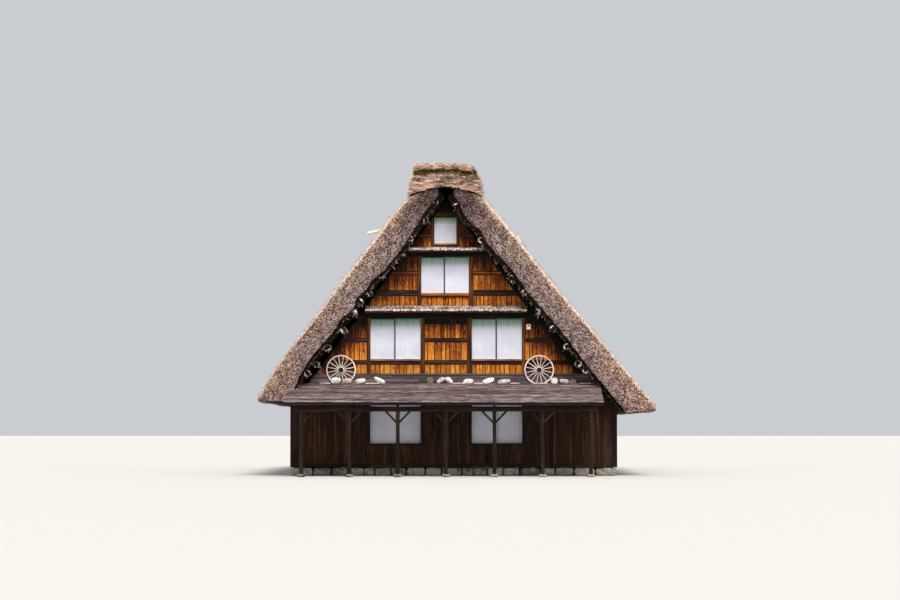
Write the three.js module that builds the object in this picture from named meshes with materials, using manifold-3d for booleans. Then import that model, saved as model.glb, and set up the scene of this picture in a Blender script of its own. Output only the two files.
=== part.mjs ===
// A steep thatched farmhouse, built from its separate timber, thatch, board and stone pieces.
// Millimetres, +Z up. The gable that the photograph shows faces -Y, and X runs to the right along it.
// A roof line is written as z = rise + slope * x in the plane of the gable.
import * as THREE from "three";
import { mergeVertices } from "three/addons/utils/BufferGeometryUtils.js";
import Module from "manifold-3d";

const wasm = await Module();
wasm.setup();

// Gap between pieces that meet on a slope or are let into one another
const SEAT = 0.3;
// How deep a timber runs into the one that carries it, where both are one solid
const LAP = 20;
// How far a cutter runs past the faces that it cuts
const CUT = 50;

// Depths, measured from the middle of the house to each gable
const VERGE_Y = 9000;
const WALL_Y = 8100;
const CAP_OVERHANG = 60;
const LOG_SETBACK = 120;

// Thatch: two points on each slope's outer face, its thickness square to the slope, its eave
const LEFT_OUTER = [[-1340, 9890], [-6660, 2800]];
const RIGHT_OUTER = [[1310, 9960], [7490, 2410]];
const THATCH = 880;
const LEFT_EAVE_Z = 2620;
const RIGHT_EAVE_Z = 2300;
const EAVE_ROUND = 330;
const EAVE_STEPS = 4;

// Straw bale on the ridge: its arched foot, its flank, the neck and the mat on top
const ARCH_FOOT_Z = 9930;
const ARCH = [[-720, 10150], [-16, 10260], [690, 10150]];
const CAP_WAIST = { half: 1240, z: 10320 };
const CAP_TOP = { half: 1140, z: 10700 };
const NECK = { half: 1030, z: 10860 };
const MAT_TOP_Z = 11100;
const MAT_HALVES = [[1100, NECK.z], [1070, MAT_TOP_Z - 60], [960, MAT_TOP_Z]];

// Roof timbers: log purlins on squared principal rafters
const LOG = 200;
const LOG_SIDES = 8;
const LOG_NOTCH = 15;
const LOG_PITCH = 765;
const LOG_COUNT = 12;
const LEFT_FIRST_LOG_Z = 9720;
const RIGHT_FIRST_LOG_Z = 9670;
const RAFTER = 250;
const RAFTER_PAIRS = 9;

// Floors and storeys
const FOOTING_TOP_Z = 300;
const FLOOR = 120;
const GROUND_FLOOR_Z = FOOTING_TOP_Z + FLOOR;
const SECOND_FLOOR_BASE_Z = 3500;
const SECOND_FLOOR_Z = 3630;
const THIRD_FLOOR_Z = 5980;
const ATTIC_FLOOR_Z = 8120;

// Walls
const POST_PROUD = 60;
const BOARD_WALL = 80;
const GROUND_WALL = 200;
const LEFT_WALL_X = -5504;
const RIGHT_WALL_X = 6050;
const LEFT_PLATE_Z = 2600;
const RIGHT_PLATE_Z = 2500;
const FOOTING_WIDTH = 450;
const FOOTING_PROUD = 20;

// Windows of the gable, as x and z edges
const GABLE_WINDOWS = {
  storey_2_left: { x: [-2710, -910], z: [4160, 5610], leaves: 2 },
  storey_2_right: { x: [920, 2710], z: [4160, 5610], leaves: 2 },
  storey_3: { x: [-890, 810], z: [6520, 7820], leaves: 2 },
  storey_4: { x: [-420, 370], z: [8300, 9240], leaves: 1 },
};
const LEAF = 30;
const LEAF_LAP = 25;
const LEAF_SETBACK = 15;

// Posts and rails of the gable frame, as edges; rails are cut off by the rafters
const POSTS = [
  { x: [-2820, -2710], z: [3630, 5870] },
  { x: [-910, -770], z: [3630, 5870] },
  { x: [760, 920], z: [3630, 5870] },
  { x: [2710, 2820], z: [3630, 5870] },
  { x: [-1020, -890], z: [5980, 8020] },
  { x: [810, 970], z: [5980, 8020] },
  { x: [-520, -420], z: [8120, 9300] },
  { x: [370, 470], z: [8120, 9300] },
];
const RAILS = [
  [3630, 3720], [3980, 4100], [4780, 4890], [5610, 5720], [5860, 6040],
  [6420, 6520], [7180, 7290], [7820, 7920], [8000, 8160], [8540, 8640], [9240, 9370],
];
const SILLS = [4100, 4160];
const RAKE_FOOT = 230;
const RAKE_HEAD = 10;

// Pents over the windows, on three arms each
const PENTS = {
  lower: { x: [-2885, 2890], wallZ: 6040, edgeZ: 5850 },
  upper: { x: [-1460, 1460], wallZ: 8160, edgeZ: 8015 },
};
const PENT_REACH = 420;
const PENT_THICK = 55;
const PENT_ARM = { count: 3, width: 70, foot: 115, tip: 20, setback: 60, inset: 200 };

// The board at the foot of the gable and the lean-to under it
const KICK = { z: [3240, 3630], thick: 50, clear: 20 };
const LEANTO_TOP_Z = 3240;
const LEANTO_EAVE_Z = 2560;
const LEANTO_LEDGE = 300;
const LEANTO_REACH = 2400;
const LEANTO_THICK = 60;
const LEANTO_LEFT_X = { top: -5190, eave: -5650 };
const LEANTO_RIGHT_X = 5470;
const LEANTO_SLANT_Y = 9010;
const LEANTO_RIBS = 7;
const LEANTO_RIB = { width: 80, depth: 100 };
const LEANTO_POST = 130;
const LEANTO_POSTS_X = [-5020, 5020];
const LEANTO_SETBACK = 150;
const LEANTO_BEAM = { deep: 120, high: 180, past: 250 };

// Ground storey windows and the entrance
const GROUND_WINDOW_WIDTH = 1800;
const GABLE_GROUND_WINDOWS = { centres: [-1810, 1815], z: [1150, 2550] };
const SIDE_WINDOWS_Z = [950, 2150];
const LEFT_WINDOW_CENTRES = [-5400, 0, 5400];
const RIGHT_FRONT_WINDOW_CENTRES = [-5400, -1500];
const RIGHT_REAR_WINDOW_CENTRES = [5600];
const GROUND_LEAF = { inside: 20, outside: 50 };
const TRACK = { deep: 40, below: 60, above: 20 };
const DOOR = { y: [1500, 3300], z: [GROUND_FLOOR_Z, 2320] };
const DOOR_LEAF = { thick: 40, setback: 40, apart: 20, lap: 20 };

// Main posts that carry the second floor
const MAIN_POST = 200;
const MAIN_POST_COUNT = 6;
const MAIN_POST_INSET = 300;
const MAIN_BEAM = 300;
const MAIN_BEAM_INSET = 200;
const LEFT_POST_ROW_X = [-4440, -4240];
const RIGHT_POST_ROW_X = [4640, 4840];

// Things on the front
const WHEEL = { radius: 530, rim: 48, deep: 50, spokes: 16, spoke: 34, steps: 32 };
const NAVE = { radius: 95, near: -65, far: 45, steps: 16 };
const WHEELS = { cart_wheel_left: -3750, cart_wheel_right: 3320 };
const METER = { x: 2950, z: 5310, width: 160, height: 200, deep: 100 };
const ROOF_POLE = { tip: [-2800, 8560], reach: 520, lift: 87, thick: 130, y: -8560 };

// Roof lines

const lineThrough = ([[xa, za], [xb, zb]]) => {
  const slope = (zb - za) / (xb - xa);
  return { slope, rise: za - slope * xa };
};
const inward = ({ slope, rise }, distance) => ({ slope, rise: rise - distance * Math.hypot(1, slope) });
const zAt = ({ slope, rise }, x) => rise + slope * x;
const xAt = ({ slope, rise }, z) => (z - rise) / slope;
const apexOf = ({ left, right }) => {
  const x = (right.rise - left.rise) / (left.slope - right.slope);
  return [x, zAt(left, x)];
};

const leftOuter = lineThrough(LEFT_OUTER);
const rightOuter = lineThrough(RIGHT_OUTER);
const leftInner = inward(leftOuter, THATCH);
const rightInner = inward(rightOuter, THATCH);
const leftArchFoot = [xAt(leftOuter, ARCH_FOOT_Z), ARCH_FOOT_Z];
const rightArchFoot = [xAt(rightOuter, ARCH_FOOT_Z), ARCH_FOOT_Z];
const [ridgeX] = apexOf({ left: leftInner, right: rightInner });
const rafterDepth = LOG - LOG_NOTCH + RAFTER;
const leftRafterFace = inward(leftInner, rafterDepth);
const rightRafterFace = inward(rightInner, rafterDepth);
const room = { left: inward(leftRafterFace, SEAT), right: inward(rightRafterFace, SEAT) };
const gable = { left: inward(leftInner, LOG + 2 * SEAT), right: inward(rightInner, LOG + 2 * SEAT) };
const gableBackY = WALL_Y - POST_PROUD - BOARD_WALL;

// Solids

const MERGE = 1e-3;
// These turn an extrusion so that its outline lies in the gable's plane, or in the plane across it.
const INTO_GABLE_PLANE = new THREE.Matrix4().set(1, 0, 0, 0, 0, 0, -1, 0, 0, 1, 0, 0, 0, 0, 0, 1);
const INTO_CROSS_PLANE = new THREE.Matrix4().set(0, 0, 1, 0, 1, 0, 0, 0, 0, 1, 0, 0, 0, 0, 0, 1);

function solidOf(geometry) {
  const bare = geometry.clone();
  bare.deleteAttribute("normal");
  bare.deleteAttribute("uv");
  const merged = mergeVertices(bare, MERGE);
  const mesh = new wasm.Mesh({
    numProp: 3,
    vertProperties: merged.attributes.position.array,
    triVerts: new Uint32Array(merged.index.array),
  });
  return new wasm.Manifold(mesh);
}

function box([x0, x1], [y0, y1], [z0, z1]) {
  const geometry = new THREE.BoxGeometry(x1 - x0, y1 - y0, z1 - z0);
  return solidOf(geometry.translate((x0 + x1) / 2, (y0 + y1) / 2, (z0 + z1) / 2));
}

const shapeOf = (points) => new THREE.Shape(points.map(([u, v]) => new THREE.Vector2(u, v)));

function extrusion(outline, length) {
  const shape = outline instanceof THREE.Shape ? outline : shapeOf(outline);
  return new THREE.ExtrudeGeometry(shape, { depth: length, bevelEnabled: false, curveSegments: EAVE_STEPS });
}

// A prism along Y, its outline given as x and z.
const alongHouse = (outline, [y0, y1]) =>
  solidOf(extrusion(outline, y1 - y0).applyMatrix4(INTO_GABLE_PLANE).translate(0, y1, 0));

// A prism along X, its outline given as y and z.
const acrossHouse = (outline, [x0, x1]) =>
  solidOf(extrusion(outline, x1 - x0).applyMatrix4(INTO_CROSS_PLANE).translate(x0, 0, 0));

// A prism along Z, its outline given as x and depth outward.
const upright = (outline, end, [z0, z1]) =>
  solidOf(extrusion(outline.map(([x, y]) => [x, end * y]), z1 - z0).translate(0, 0, z0));

const joined = (solids) => solids.reduce((sum, solid) => sum.add(solid));
const cutBy = (solid, cutters) => cutters.reduce((rest, cutter) => rest.subtract(cutter), solid);
const spread = ([first, last], count) =>
  Array.from({ length: count }, (_, i) => first + ((last - first) * i) / (count - 1));
const around = (centre, width) => [centre - width / 2, centre + width / 2];
const ordered = (a, b) => [Math.min(a, b), Math.max(a, b)];

// Depths given outward from the middle of the house, on the front (-1) or the rear (+1).
const depth = (end, near, far) => ordered(end * near, end * far);

// What lies between a left and a right line, from one height to another or up to where they meet.
function between(lines, z0, z1, span) {
  const { left, right } = lines;
  const top = z1 ? [[xAt(right, z1), z1], [xAt(left, z1), z1]] : [apexOf(lines)];
  return alongHouse([[xAt(left, z0), z0], [xAt(right, z0), z0], ...top], span);
}

function geometryOf(solid) {
  const { vertProperties, triVerts, numProp } = solid.getMesh();
  const positions = new Float32Array((vertProperties.length / numProp) * 3);
  for (let i = 0; i < positions.length / 3; i++)
    positions.set(vertProperties.subarray(i * numProp, i * numProp + 3), i * 3);
  return new THREE.BufferGeometry()
    .setAttribute("position", new THREE.BufferAttribute(positions, 3))
    .setIndex(new THREE.BufferAttribute(triVerts, 1));
}

// Materials

const finish = (color, roughness, metalness = 0) => () =>
  new THREE.MeshStandardMaterial({ color, roughness, metalness });
const FINISHES = {
  thatch: finish(0x8a7868, 1),
  ridgeStraw: finish(0xb59a78, 1),
  darkTimber: finish(0x3a241a, 0.8),
  boards: finish(0xa85f22, 0.75),
  plainTimber: finish(0x6f533f, 0.85),
  shoji: finish(0xe9e7e2, 0.9),
  shingles: finish(0xb0a195, 0.95),
  greyBoard: finish(0x6c646b, 0.9),
  paleWood: finish(0xb3aaa0, 0.9),
  stone: finish(0x8d8a84, 0.95),
  creamPlastic: finish(0xe6dcc3, 0.5),
};

const house = new THREE.Group();

function place(name, solid, kind) {
  const geometry = geometryOf(solid);
  geometry.computeVertexNormals();
  const mesh = new THREE.Mesh(geometry, FINISHES[kind]());
  mesh.name = name;
  house.add(mesh);
}

// Roof

// The arch is the slope's share of the ridge bale's foot, from the outer face to the ridge.
function thatchSlope(outer, inner, eaveZ, side, arch) {
  const shape = new THREE.Shape();
  const top = arch.map(([x, z]) => [x, z - SEAT]);
  const centreX = ridgeX + (side * SEAT) / 2;
  const cornerX = xAt(outer, eaveZ);
  const roundX = cornerX - (side * EAVE_ROUND) / Math.hypot(1, outer.slope);
  shape.moveTo(centreX, zAt(inner, centreX));
  shape.lineTo(xAt(inner, eaveZ), eaveZ);
  shape.lineTo(cornerX - side * EAVE_ROUND, eaveZ);
  shape.quadraticCurveTo(cornerX, eaveZ, roundX, zAt(outer, roundX));
  shape.lineTo(xAt(outer, top[0][1]), top[0][1]);
  for (const [x, z] of top.slice(1, -1)) shape.lineTo(x, z);
  shape.lineTo(centreX, top.at(-1)[1]);
  return alongHouse(shape, [-VERGE_Y, VERGE_Y]);
}

// Half of an outline, given from its foot up, and the same half mirrored about x = 0.
const mirrored = (halves) => [...halves, ...halves.map(([half, z]) => [-half, z]).reverse()];

function ridgeCap() {
  const flank = [
    [CAP_WAIST.half, CAP_WAIST.z],
    [CAP_TOP.half, CAP_TOP.z],
    [NECK.half, CAP_TOP.z],
    [NECK.half, NECK.z],
  ];
  const outline = [leftArchFoot, ...ARCH, rightArchFoot, ...mirrored(flank)];
  return alongHouse(outline, [-VERGE_Y - CAP_OVERHANG, VERGE_Y + CAP_OVERHANG]);
}

const ridgeMat = () => alongHouse(mirrored(MAT_HALVES), [-VERGE_Y, VERGE_Y]);

// Log purlins laid on squared rafters, which run from the ridge down to the wall plate.
function roofFrame(inner, rafterFace, side, firstLogZ, plateZ) {
  const logLine = inward(inner, LOG / 2 + SEAT);
  const rafterBack = inward(inner, LOG - LOG_NOTCH);
  const pitchZ = (LOG_PITCH * Math.abs(inner.slope)) / Math.hypot(1, inner.slope);
  const tilt = Math.atan(inner.slope);
  const ends = [-VERGE_Y + LOG_SETBACK, VERGE_Y - LOG_SETBACK];
  const corner = LOG / 2 / Math.cos(Math.PI / LOG_SIDES);
  const logs = Array.from({ length: LOG_COUNT }, (_, i) => {
    const z = firstLogZ - i * pitchZ;
    const x = xAt(logLine, z);
    const ring = Array.from({ length: LOG_SIDES }, (_, k) => {
      const turn = tilt + ((k + 0.5) * 2 * Math.PI) / LOG_SIDES;
      return [x + corner * Math.cos(turn), z + corner * Math.sin(turn)];
    });
    return alongHouse(ring, ends);
  });
  const centreX = ridgeX + (side * SEAT) / 2;
  const outline = [
    [centreX, zAt(rafterBack, centreX)],
    [centreX, zAt(rafterFace, centreX)],
    [xAt(rafterFace, plateZ), plateZ],
    [xAt(rafterBack, plateZ), plateZ],
  ];
  const endY = gableBackY - SEAT - RAFTER / 2;
  const rafters = spread([-endY, endY], RAFTER_PAIRS).map((y) => alongHouse(outline, around(y, RAFTER)));
  return joined([...logs, ...rafters]);
}

// The pole's inner end is cut to the slope of the thatch that it stands on.
function roofPole() {
  const { tip, reach, lift, thick, y } = ROOF_POLE;
  const [tipX, tipZ] = tip;
  const topOf = (x) => tipZ + thick + ((x - tipX) * lift) / reach;
  const face = { slope: leftOuter.slope, rise: leftOuter.rise + SEAT * Math.hypot(1, leftOuter.slope) };
  const lowZ = tipZ + lift;
  const highX = xAt(face, lowZ + thick);
  const outline = [[tipX, tipZ], [xAt(face, lowZ), lowZ], [highX, lowZ + thick], [tipX, topOf(tipX)]];
  return alongHouse(outline, around(y, thick));
}

// Gables

const windowHole = (end, { x, z }) => box(x, depth(end, gableBackY - CUT, WALL_Y + CUT), z);

function gableWall(end, z0, z1, windows) {
  const wall = between(gable, z0, z1, depth(end, gableBackY, WALL_Y - POST_PROUD));
  return cutBy(wall, windows.map((name) => windowHole(end, GABLE_WINDOWS[name])));
}

// The inner edge of a raking timber, which is deep at its foot and thin at the ridge.
function rakeLine(outer) {
  const foot = inward(outer, RAKE_FOOT);
  const head = inward(outer, RAKE_HEAD);
  const headZ = apexOf(gable)[1];
  return lineThrough([[xAt(foot, SECOND_FLOOR_Z), SECOND_FLOOR_Z], [xAt(head, headZ), headZ]]);
}

// Posts, rails and sills, tied together by the two raking timbers under the roof.
function gableFrame(end) {
  const span = depth(end, WALL_Y - POST_PROUD, WALL_Y);
  const windows = Object.values(GABLE_WINDOWS);
  const rails = RAILS.map((z) => box([LEFT_WALL_X, RIGHT_WALL_X], span, z));
  const sills = windows.slice(0, 2).map(({ x }) => box(x, span, SILLS));
  const posts = POSTS.map(({ x, z }) => box(x, span, z));
  const whole = between(gable, SECOND_FLOOR_Z, null, span);
  const taper = { left: rakeLine(gable.left), right: rakeLine(gable.right) };
  const through = depth(end, WALL_Y - POST_PROUD - CUT, WALL_Y + CUT);
  const rakes = whole.subtract(between(taper, SECOND_FLOOR_Z - CUT, null, through));
  const frame = joined([...rails, ...sills, ...posts]).intersect(whole).add(rakes);
  return cutBy(frame, windows.map((edges) => windowHole(end, edges)));
}

// Two leaves that pass each other on a double track, or one fixed leaf.
function shoji(end, { x, z, leaves }) {
  const [x0, x1] = [x[0] + SEAT, x[1] - SEAT];
  const height = [z[0] + SEAT, z[1] - SEAT];
  const face = WALL_Y - LEAF_SETBACK;
  const front = depth(end, face - LEAF, face);
  if (leaves === 1) return box([x0, x1], front, height);
  const back = depth(end, face - 2 * LEAF, face - LEAF);
  const middle = (x0 + x1) / 2;
  return box([x0, middle + LEAF_LAP], front, height).add(box([middle - LEAF_LAP, x1], back, height));
}

function pent(end, { x, wallZ, edgeZ }) {
  const { count, width, foot, tip, setback, inset } = PENT_ARM;
  const wallY = WALL_Y + SEAT;
  const edgeY = WALL_Y + PENT_REACH;
  const armY = edgeY - setback;
  const under = (y) => wallZ - PENT_THICK + ((edgeZ - wallZ) * (y - wallY)) / (edgeY - wallY);
  const slab = [[wallY, wallZ], [edgeY, edgeZ], [edgeY, under(edgeY)], [wallY, under(wallY)]];
  const arm = [
    [wallY, under(wallY) + LAP],
    [armY, under(armY) + LAP],
    [armY, under(edgeY) - tip],
    [wallY, under(wallY) - foot],
  ];
  const out = (points) => points.map(([y, z]) => [end * y, z]);
  const places = spread([x[0] + inset, x[1] - inset], count);
  const arms = places.map((at) => acrossHouse(out(arm), around(at, width)));
  return joined([acrossHouse(out(slab), x), ...arms]);
}

function kickBoard(end) {
  const edge = LOG + KICK.clear;
  const lines = { left: inward(leftInner, edge), right: inward(rightInner, edge) };
  return between(lines, ...KICK.z, depth(end, WALL_Y, WALL_Y + KICK.thick));
}

// The lean-to's top surface falls from the ledge at the wall to the eave.
const leantoLedgeY = WALL_Y + LEANTO_LEDGE;
const leantoEaveY = WALL_Y + LEANTO_REACH;
const leantoPitch = (LEANTO_TOP_Z - LEANTO_EAVE_Z) / (leantoEaveY - leantoLedgeY);
const leantoTopAt = (y) => LEANTO_TOP_Z - Math.max(0, y - leantoLedgeY) * leantoPitch;

// A board or rib that follows the lean-to's slope, this far under its top surface and this thick.
function leantoStrip(end, drop, thick, startY, endY, span) {
  const route = [startY, leantoLedgeY, endY];
  const over = route.map((y) => [end * y, leantoTopAt(y) - drop]);
  const under = route.map((y) => [end * y, leantoTopAt(y) - drop - thick]).reverse();
  return acrossHouse([...over, ...under], span);
}

function leantoRoof(end) {
  const wideSpan = [LEANTO_LEFT_X.eave, LEANTO_RIGHT_X];
  const slab = leantoStrip(end, 0, LEANTO_THICK, WALL_Y + KICK.thick, leantoEaveY, wideSpan);
  const ribEndY = leantoEaveY - LEANTO_SETBACK / 2;
  const ribs = spread(LEANTO_POSTS_X, LEANTO_RIBS).map((x) => {
    const span = around(x, LEANTO_RIB.width);
    return leantoStrip(end, LEANTO_THICK - LAP, LEANTO_RIB.depth + LAP, WALL_Y + SEAT, ribEndY, span);
  });
  const offCut = [
    [LEANTO_LEFT_X.eave - CUT, 0],
    [LEANTO_LEFT_X.top, 0],
    [LEANTO_LEFT_X.top, LEANTO_SLANT_Y],
    [LEANTO_LEFT_X.eave, leantoEaveY],
    [LEANTO_LEFT_X.eave - CUT, leantoEaveY],
  ];
  return joined([slab, ...ribs]).subtract(upright(offCut, end, [0, SECOND_FLOOR_Z]));
}

function leantoFrame(end) {
  const outer = leantoEaveY - LEANTO_SETBACK;
  const under = leantoTopAt(outer) - LEANTO_THICK - LEANTO_RIB.depth - SEAT;
  const beamX = [LEANTO_POSTS_X[0] - LEANTO_BEAM.past, LEANTO_POSTS_X[1] + LEANTO_BEAM.past];
  const beam = box(beamX, depth(end, outer - LEANTO_BEAM.deep, outer), [under - LEANTO_BEAM.high, under]);
  const posts = spread(LEANTO_POSTS_X, LEANTO_RIBS).map((x) =>
    box(around(x, LEANTO_POST), depth(end, outer - LEANTO_POST, outer), [0, under - LAP]),
  );
  return joined([beam, ...posts]);
}

// Ground storey

function gableGroundWall(end) {
  const z1 = SECOND_FLOOR_BASE_Z;
  const [left, right] = [LEFT_WALL_X + GROUND_WALL, RIGHT_WALL_X - GROUND_WALL];
  const outline = [
    [left, FOOTING_TOP_Z],
    [right, FOOTING_TOP_Z],
    [right, zAt(gable.right, right)],
    [xAt(gable.right, z1), z1],
    [xAt(gable.left, z1), z1],
    [left, zAt(gable.left, left)],
  ];
  const wall = alongHouse(outline, depth(end, gableBackY, WALL_Y));
  const { centres, z } = GABLE_GROUND_WINDOWS;
  return cutBy(wall, centres.map((x) => windowHole(end, { x: around(x, GROUND_WINDOW_WIDTH), z })));
}

// Panels that stand on one track along the wall's inner face. A window's place along the wall comes
// from its centre; inward is the way into the room, and build turns place, depth and height into a box.
function groundShoji(centres, [z0, z1], innerFace, inward, build) {
  const { inside, outside } = GROUND_LEAF;
  const width = GROUND_WINDOW_WIDTH - 2 * SEAT;
  const leaf = ordered(innerFace + inward * inside, innerFace - inward * outside);
  const panes = centres.map((at) => build(around(at, width), leaf, [z0 + SEAT, z1 - SEAT]));
  const rail = ordered(innerFace + inward * SEAT, innerFace + inward * (SEAT + TRACK.deep));
  const ends = [centres[0] - width / 2, centres.at(-1) + width / 2];
  return joined([...panes, build(ends, rail, [z0 - TRACK.below, z0 + TRACK.above])]);
}

function gableGroundShoji(end) {
  const { centres, z } = GABLE_GROUND_WINDOWS;
  return groundShoji(centres, z, end * gableBackY, -end, (x, y, height) => box(x, y, height));
}

function sideShoji(side, centres) {
  const innerFace = (side < 0 ? LEFT_WALL_X : RIGHT_WALL_X) - side * GROUND_WALL;
  return groundShoji(centres, SIDE_WINDOWS_Z, innerFace, -side, (y, x, height) => box(x, y, height));
}

function sideWall(side, plateZ, windowCentres, doors) {
  const outerX = side < 0 ? LEFT_WALL_X : RIGHT_WALL_X;
  const across = ordered(outerX, outerX - side * GROUND_WALL);
  const wall = box(across, [-WALL_Y, WALL_Y], [FOOTING_TOP_Z, plateZ]);
  const through = [across[0] - CUT, across[1] + CUT];
  const windows = windowCentres.map((y) => box(through, around(y, GROUND_WINDOW_WIDTH), SIDE_WINDOWS_Z));
  return cutBy(wall, [...windows, ...doors.map(({ y, z }) => box(through, y, z))]);
}

// Both leaves of the sliding entrance stand at its front end, one behind the other, so half is open.
function entranceLeaf(row) {
  const { thick, setback, apart, lap } = DOOR_LEAF;
  const outerX = RIGHT_WALL_X - setback - row * (thick + apart);
  const width = (DOOR.y[1] - DOOR.y[0]) / 2 + lap;
  const height = [DOOR.z[0] + SEAT, DOOR.z[1] - SEAT];
  return box([outerX - thick, outerX], [DOOR.y[0] + SEAT, DOOR.y[0] + width], height);
}

function postRow(x) {
  const beamEnd = WALL_Y - MAIN_BEAM_INSET;
  const postEnd = WALL_Y - MAIN_POST_INSET;
  const beamBaseZ = SECOND_FLOOR_BASE_Z - MAIN_BEAM;
  const beam = box(x, [-beamEnd, beamEnd], [beamBaseZ, SECOND_FLOOR_BASE_Z]);
  const posts = spread([-postEnd, postEnd], MAIN_POST_COUNT).map((y) =>
    box(x, around(y, MAIN_POST), [GROUND_FLOOR_Z, beamBaseZ + LAP]),
  );
  return joined([beam, ...posts]);
}

function footing() {
  const x = [LEFT_WALL_X - FOOTING_PROUD, RIGHT_WALL_X + FOOTING_PROUD];
  const y = [-WALL_Y - FOOTING_PROUD, WALL_Y + FOOTING_PROUD];
  const shrink = ([a, b]) => [a + FOOTING_WIDTH, b - FOOTING_WIDTH];
  return box(x, y, [0, FOOTING_TOP_Z]).subtract(box(shrink(x), shrink(y), [-CUT, FOOTING_TOP_Z + CUT]));
}

function groundFloor() {
  const y = gableBackY - SEAT;
  const x = [LEFT_WALL_X + GROUND_WALL + SEAT, RIGHT_WALL_X - GROUND_WALL - SEAT];
  return box(x, [-y, y], [FOOTING_TOP_Z, GROUND_FLOOR_Z]);
}

// Things on the front

function cartWheel(x) {
  const { radius, rim, deep, spokes, spoke, steps } = WHEEL;
  const near = radius - rim;
  const half = deep / 2;
  const section = [[near, -half], [radius, -half], [radius, half], [near, half], [near, -half]];
  const tyre = solidOf(new THREE.LatheGeometry(section.map(([r, y]) => new THREE.Vector2(r, y)), steps));
  const naveBody = new THREE.CylinderGeometry(NAVE.radius, NAVE.radius, NAVE.far - NAVE.near, NAVE.steps);
  const nave = solidOf(naveBody.translate(0, (NAVE.near + NAVE.far) / 2, 0));
  const [start, stop] = [NAVE.radius / 2, near + LAP];
  const arms = Array.from({ length: spokes }, (_, i) => {
    const arm = new THREE.BoxGeometry(stop - start, spoke, spoke).translate((start + stop) / 2, 0, 0);
    return solidOf(arm.rotateY(((i + 0.5) * 2 * Math.PI) / spokes));
  });
  const y = -WALL_Y - KICK.thick - half - SEAT;
  return joined([tyre, nave, ...arms]).translate([x, y, LEANTO_TOP_Z + radius + SEAT]);
}

function meterBox() {
  const face = -WALL_Y + POST_PROUD;
  return box(around(METER.x, METER.width), [face - METER.deep, face], around(METER.z, METER.height));
}

// Assembly

const leftArch = [leftArchFoot, ...ARCH.slice(0, 2)];
const rightArch = [rightArchFoot, ...ARCH.slice(1).reverse()];
place("thatch_left_slope", thatchSlope(leftOuter, leftInner, LEFT_EAVE_Z, -1, leftArch), "thatch");
place("thatch_right_slope", thatchSlope(rightOuter, rightInner, RIGHT_EAVE_Z, 1, rightArch), "thatch");
place("ridge_cap", ridgeCap(), "ridgeStraw");
place("ridge_cap_top", ridgeMat(), "ridgeStraw");
const leftFrame = roofFrame(leftInner, leftRafterFace, -1, LEFT_FIRST_LOG_Z, LEFT_PLATE_Z);
const rightFrame = roofFrame(rightInner, rightRafterFace, 1, RIGHT_FIRST_LOG_Z, RIGHT_PLATE_Z);
place("left_roof_frame", leftFrame, "darkTimber");
place("right_roof_frame", rightFrame, "darkTimber");
place("roof_pole", roofPole(), "paleWood");

const STOREYS = {
  storey_2: { z: [SECOND_FLOOR_Z, THIRD_FLOOR_Z - FLOOR], windows: ["storey_2_left", "storey_2_right"] },
  storey_3: { z: [THIRD_FLOOR_Z, ATTIC_FLOOR_Z - FLOOR], windows: ["storey_3"] },
  storey_4: { z: [ATTIC_FLOOR_Z, null], windows: ["storey_4"] },
};
for (const [name, end] of [["front", -1], ["rear", 1]]) {
  place(`${name}_gable_frame`, gableFrame(end), "darkTimber");
  for (const [storey, { z, windows }] of Object.entries(STOREYS))
    place(`${name}_wall_${storey}`, gableWall(end, ...z, windows), "boards");
  for (const [window, edges] of Object.entries(GABLE_WINDOWS))
    place(`${name}_shoji_${window}`, shoji(end, edges), "shoji");
  for (const [level, edges] of Object.entries(PENTS))
    place(`${name}_pent_${level}`, pent(end, edges), "shingles");
  place(`${name}_kick_board`, kickBoard(end), "greyBoard");
  place(`${name}_leanto_roof`, leantoRoof(end), "greyBoard");
  place(`${name}_leanto_frame`, leantoFrame(end), "plainTimber");
  place(`${name}_ground_wall`, gableGroundWall(end), "plainTimber");
  place(`${name}_ground_shoji`, gableGroundShoji(end), "shoji");
}

const rightWindowCentres = [...RIGHT_FRONT_WINDOW_CENTRES, ...RIGHT_REAR_WINDOW_CENTRES];
place("left_ground_wall", sideWall(-1, LEFT_PLATE_Z, LEFT_WINDOW_CENTRES, []), "plainTimber");
place("left_ground_shoji", sideShoji(-1, LEFT_WINDOW_CENTRES), "shoji");
place("right_ground_wall", sideWall(1, RIGHT_PLATE_Z, rightWindowCentres, [DOOR]), "plainTimber");
place("right_ground_shoji_front", sideShoji(1, RIGHT_FRONT_WINDOW_CENTRES), "shoji");
place("right_ground_shoji_rear", sideShoji(1, RIGHT_REAR_WINDOW_CENTRES), "shoji");
place("entrance_leaf_outer", entranceLeaf(0), "plainTimber");
place("entrance_leaf_inner", entranceLeaf(1), "plainTimber");
place("left_post_row", postRow(LEFT_POST_ROW_X), "darkTimber");
place("right_post_row", postRow(RIGHT_POST_ROW_X), "darkTimber");
place("footing", footing(), "stone");
place("ground_floor", groundFloor(), "plainTimber");

const floorY = WALL_Y - POST_PROUD;
const upperFloor = (topZ) => between(room, topZ - FLOOR, topZ, [-floorY, floorY]);
place("second_floor", between(room, SECOND_FLOOR_BASE_Z, SECOND_FLOOR_Z, [-WALL_Y, WALL_Y]), "plainTimber");
place("third_floor", upperFloor(THIRD_FLOOR_Z), "plainTimber");
place("attic_floor", upperFloor(ATTIC_FLOOR_Z), "plainTimber");

for (const [name, x] of Object.entries(WHEELS)) place(name, cartWheel(x), "paleWood");
place("meter_box", meterBox(), "creamPlastic");

// The origin is the middle of the house on the ground.
const size = new THREE.Box3().setFromObject(house);
house.position.set(-(size.min.x + size.max.x) / 2, -(size.min.y + size.max.y) / 2, -size.min.z);

export default house;
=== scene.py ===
import math
from itertools import product

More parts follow.
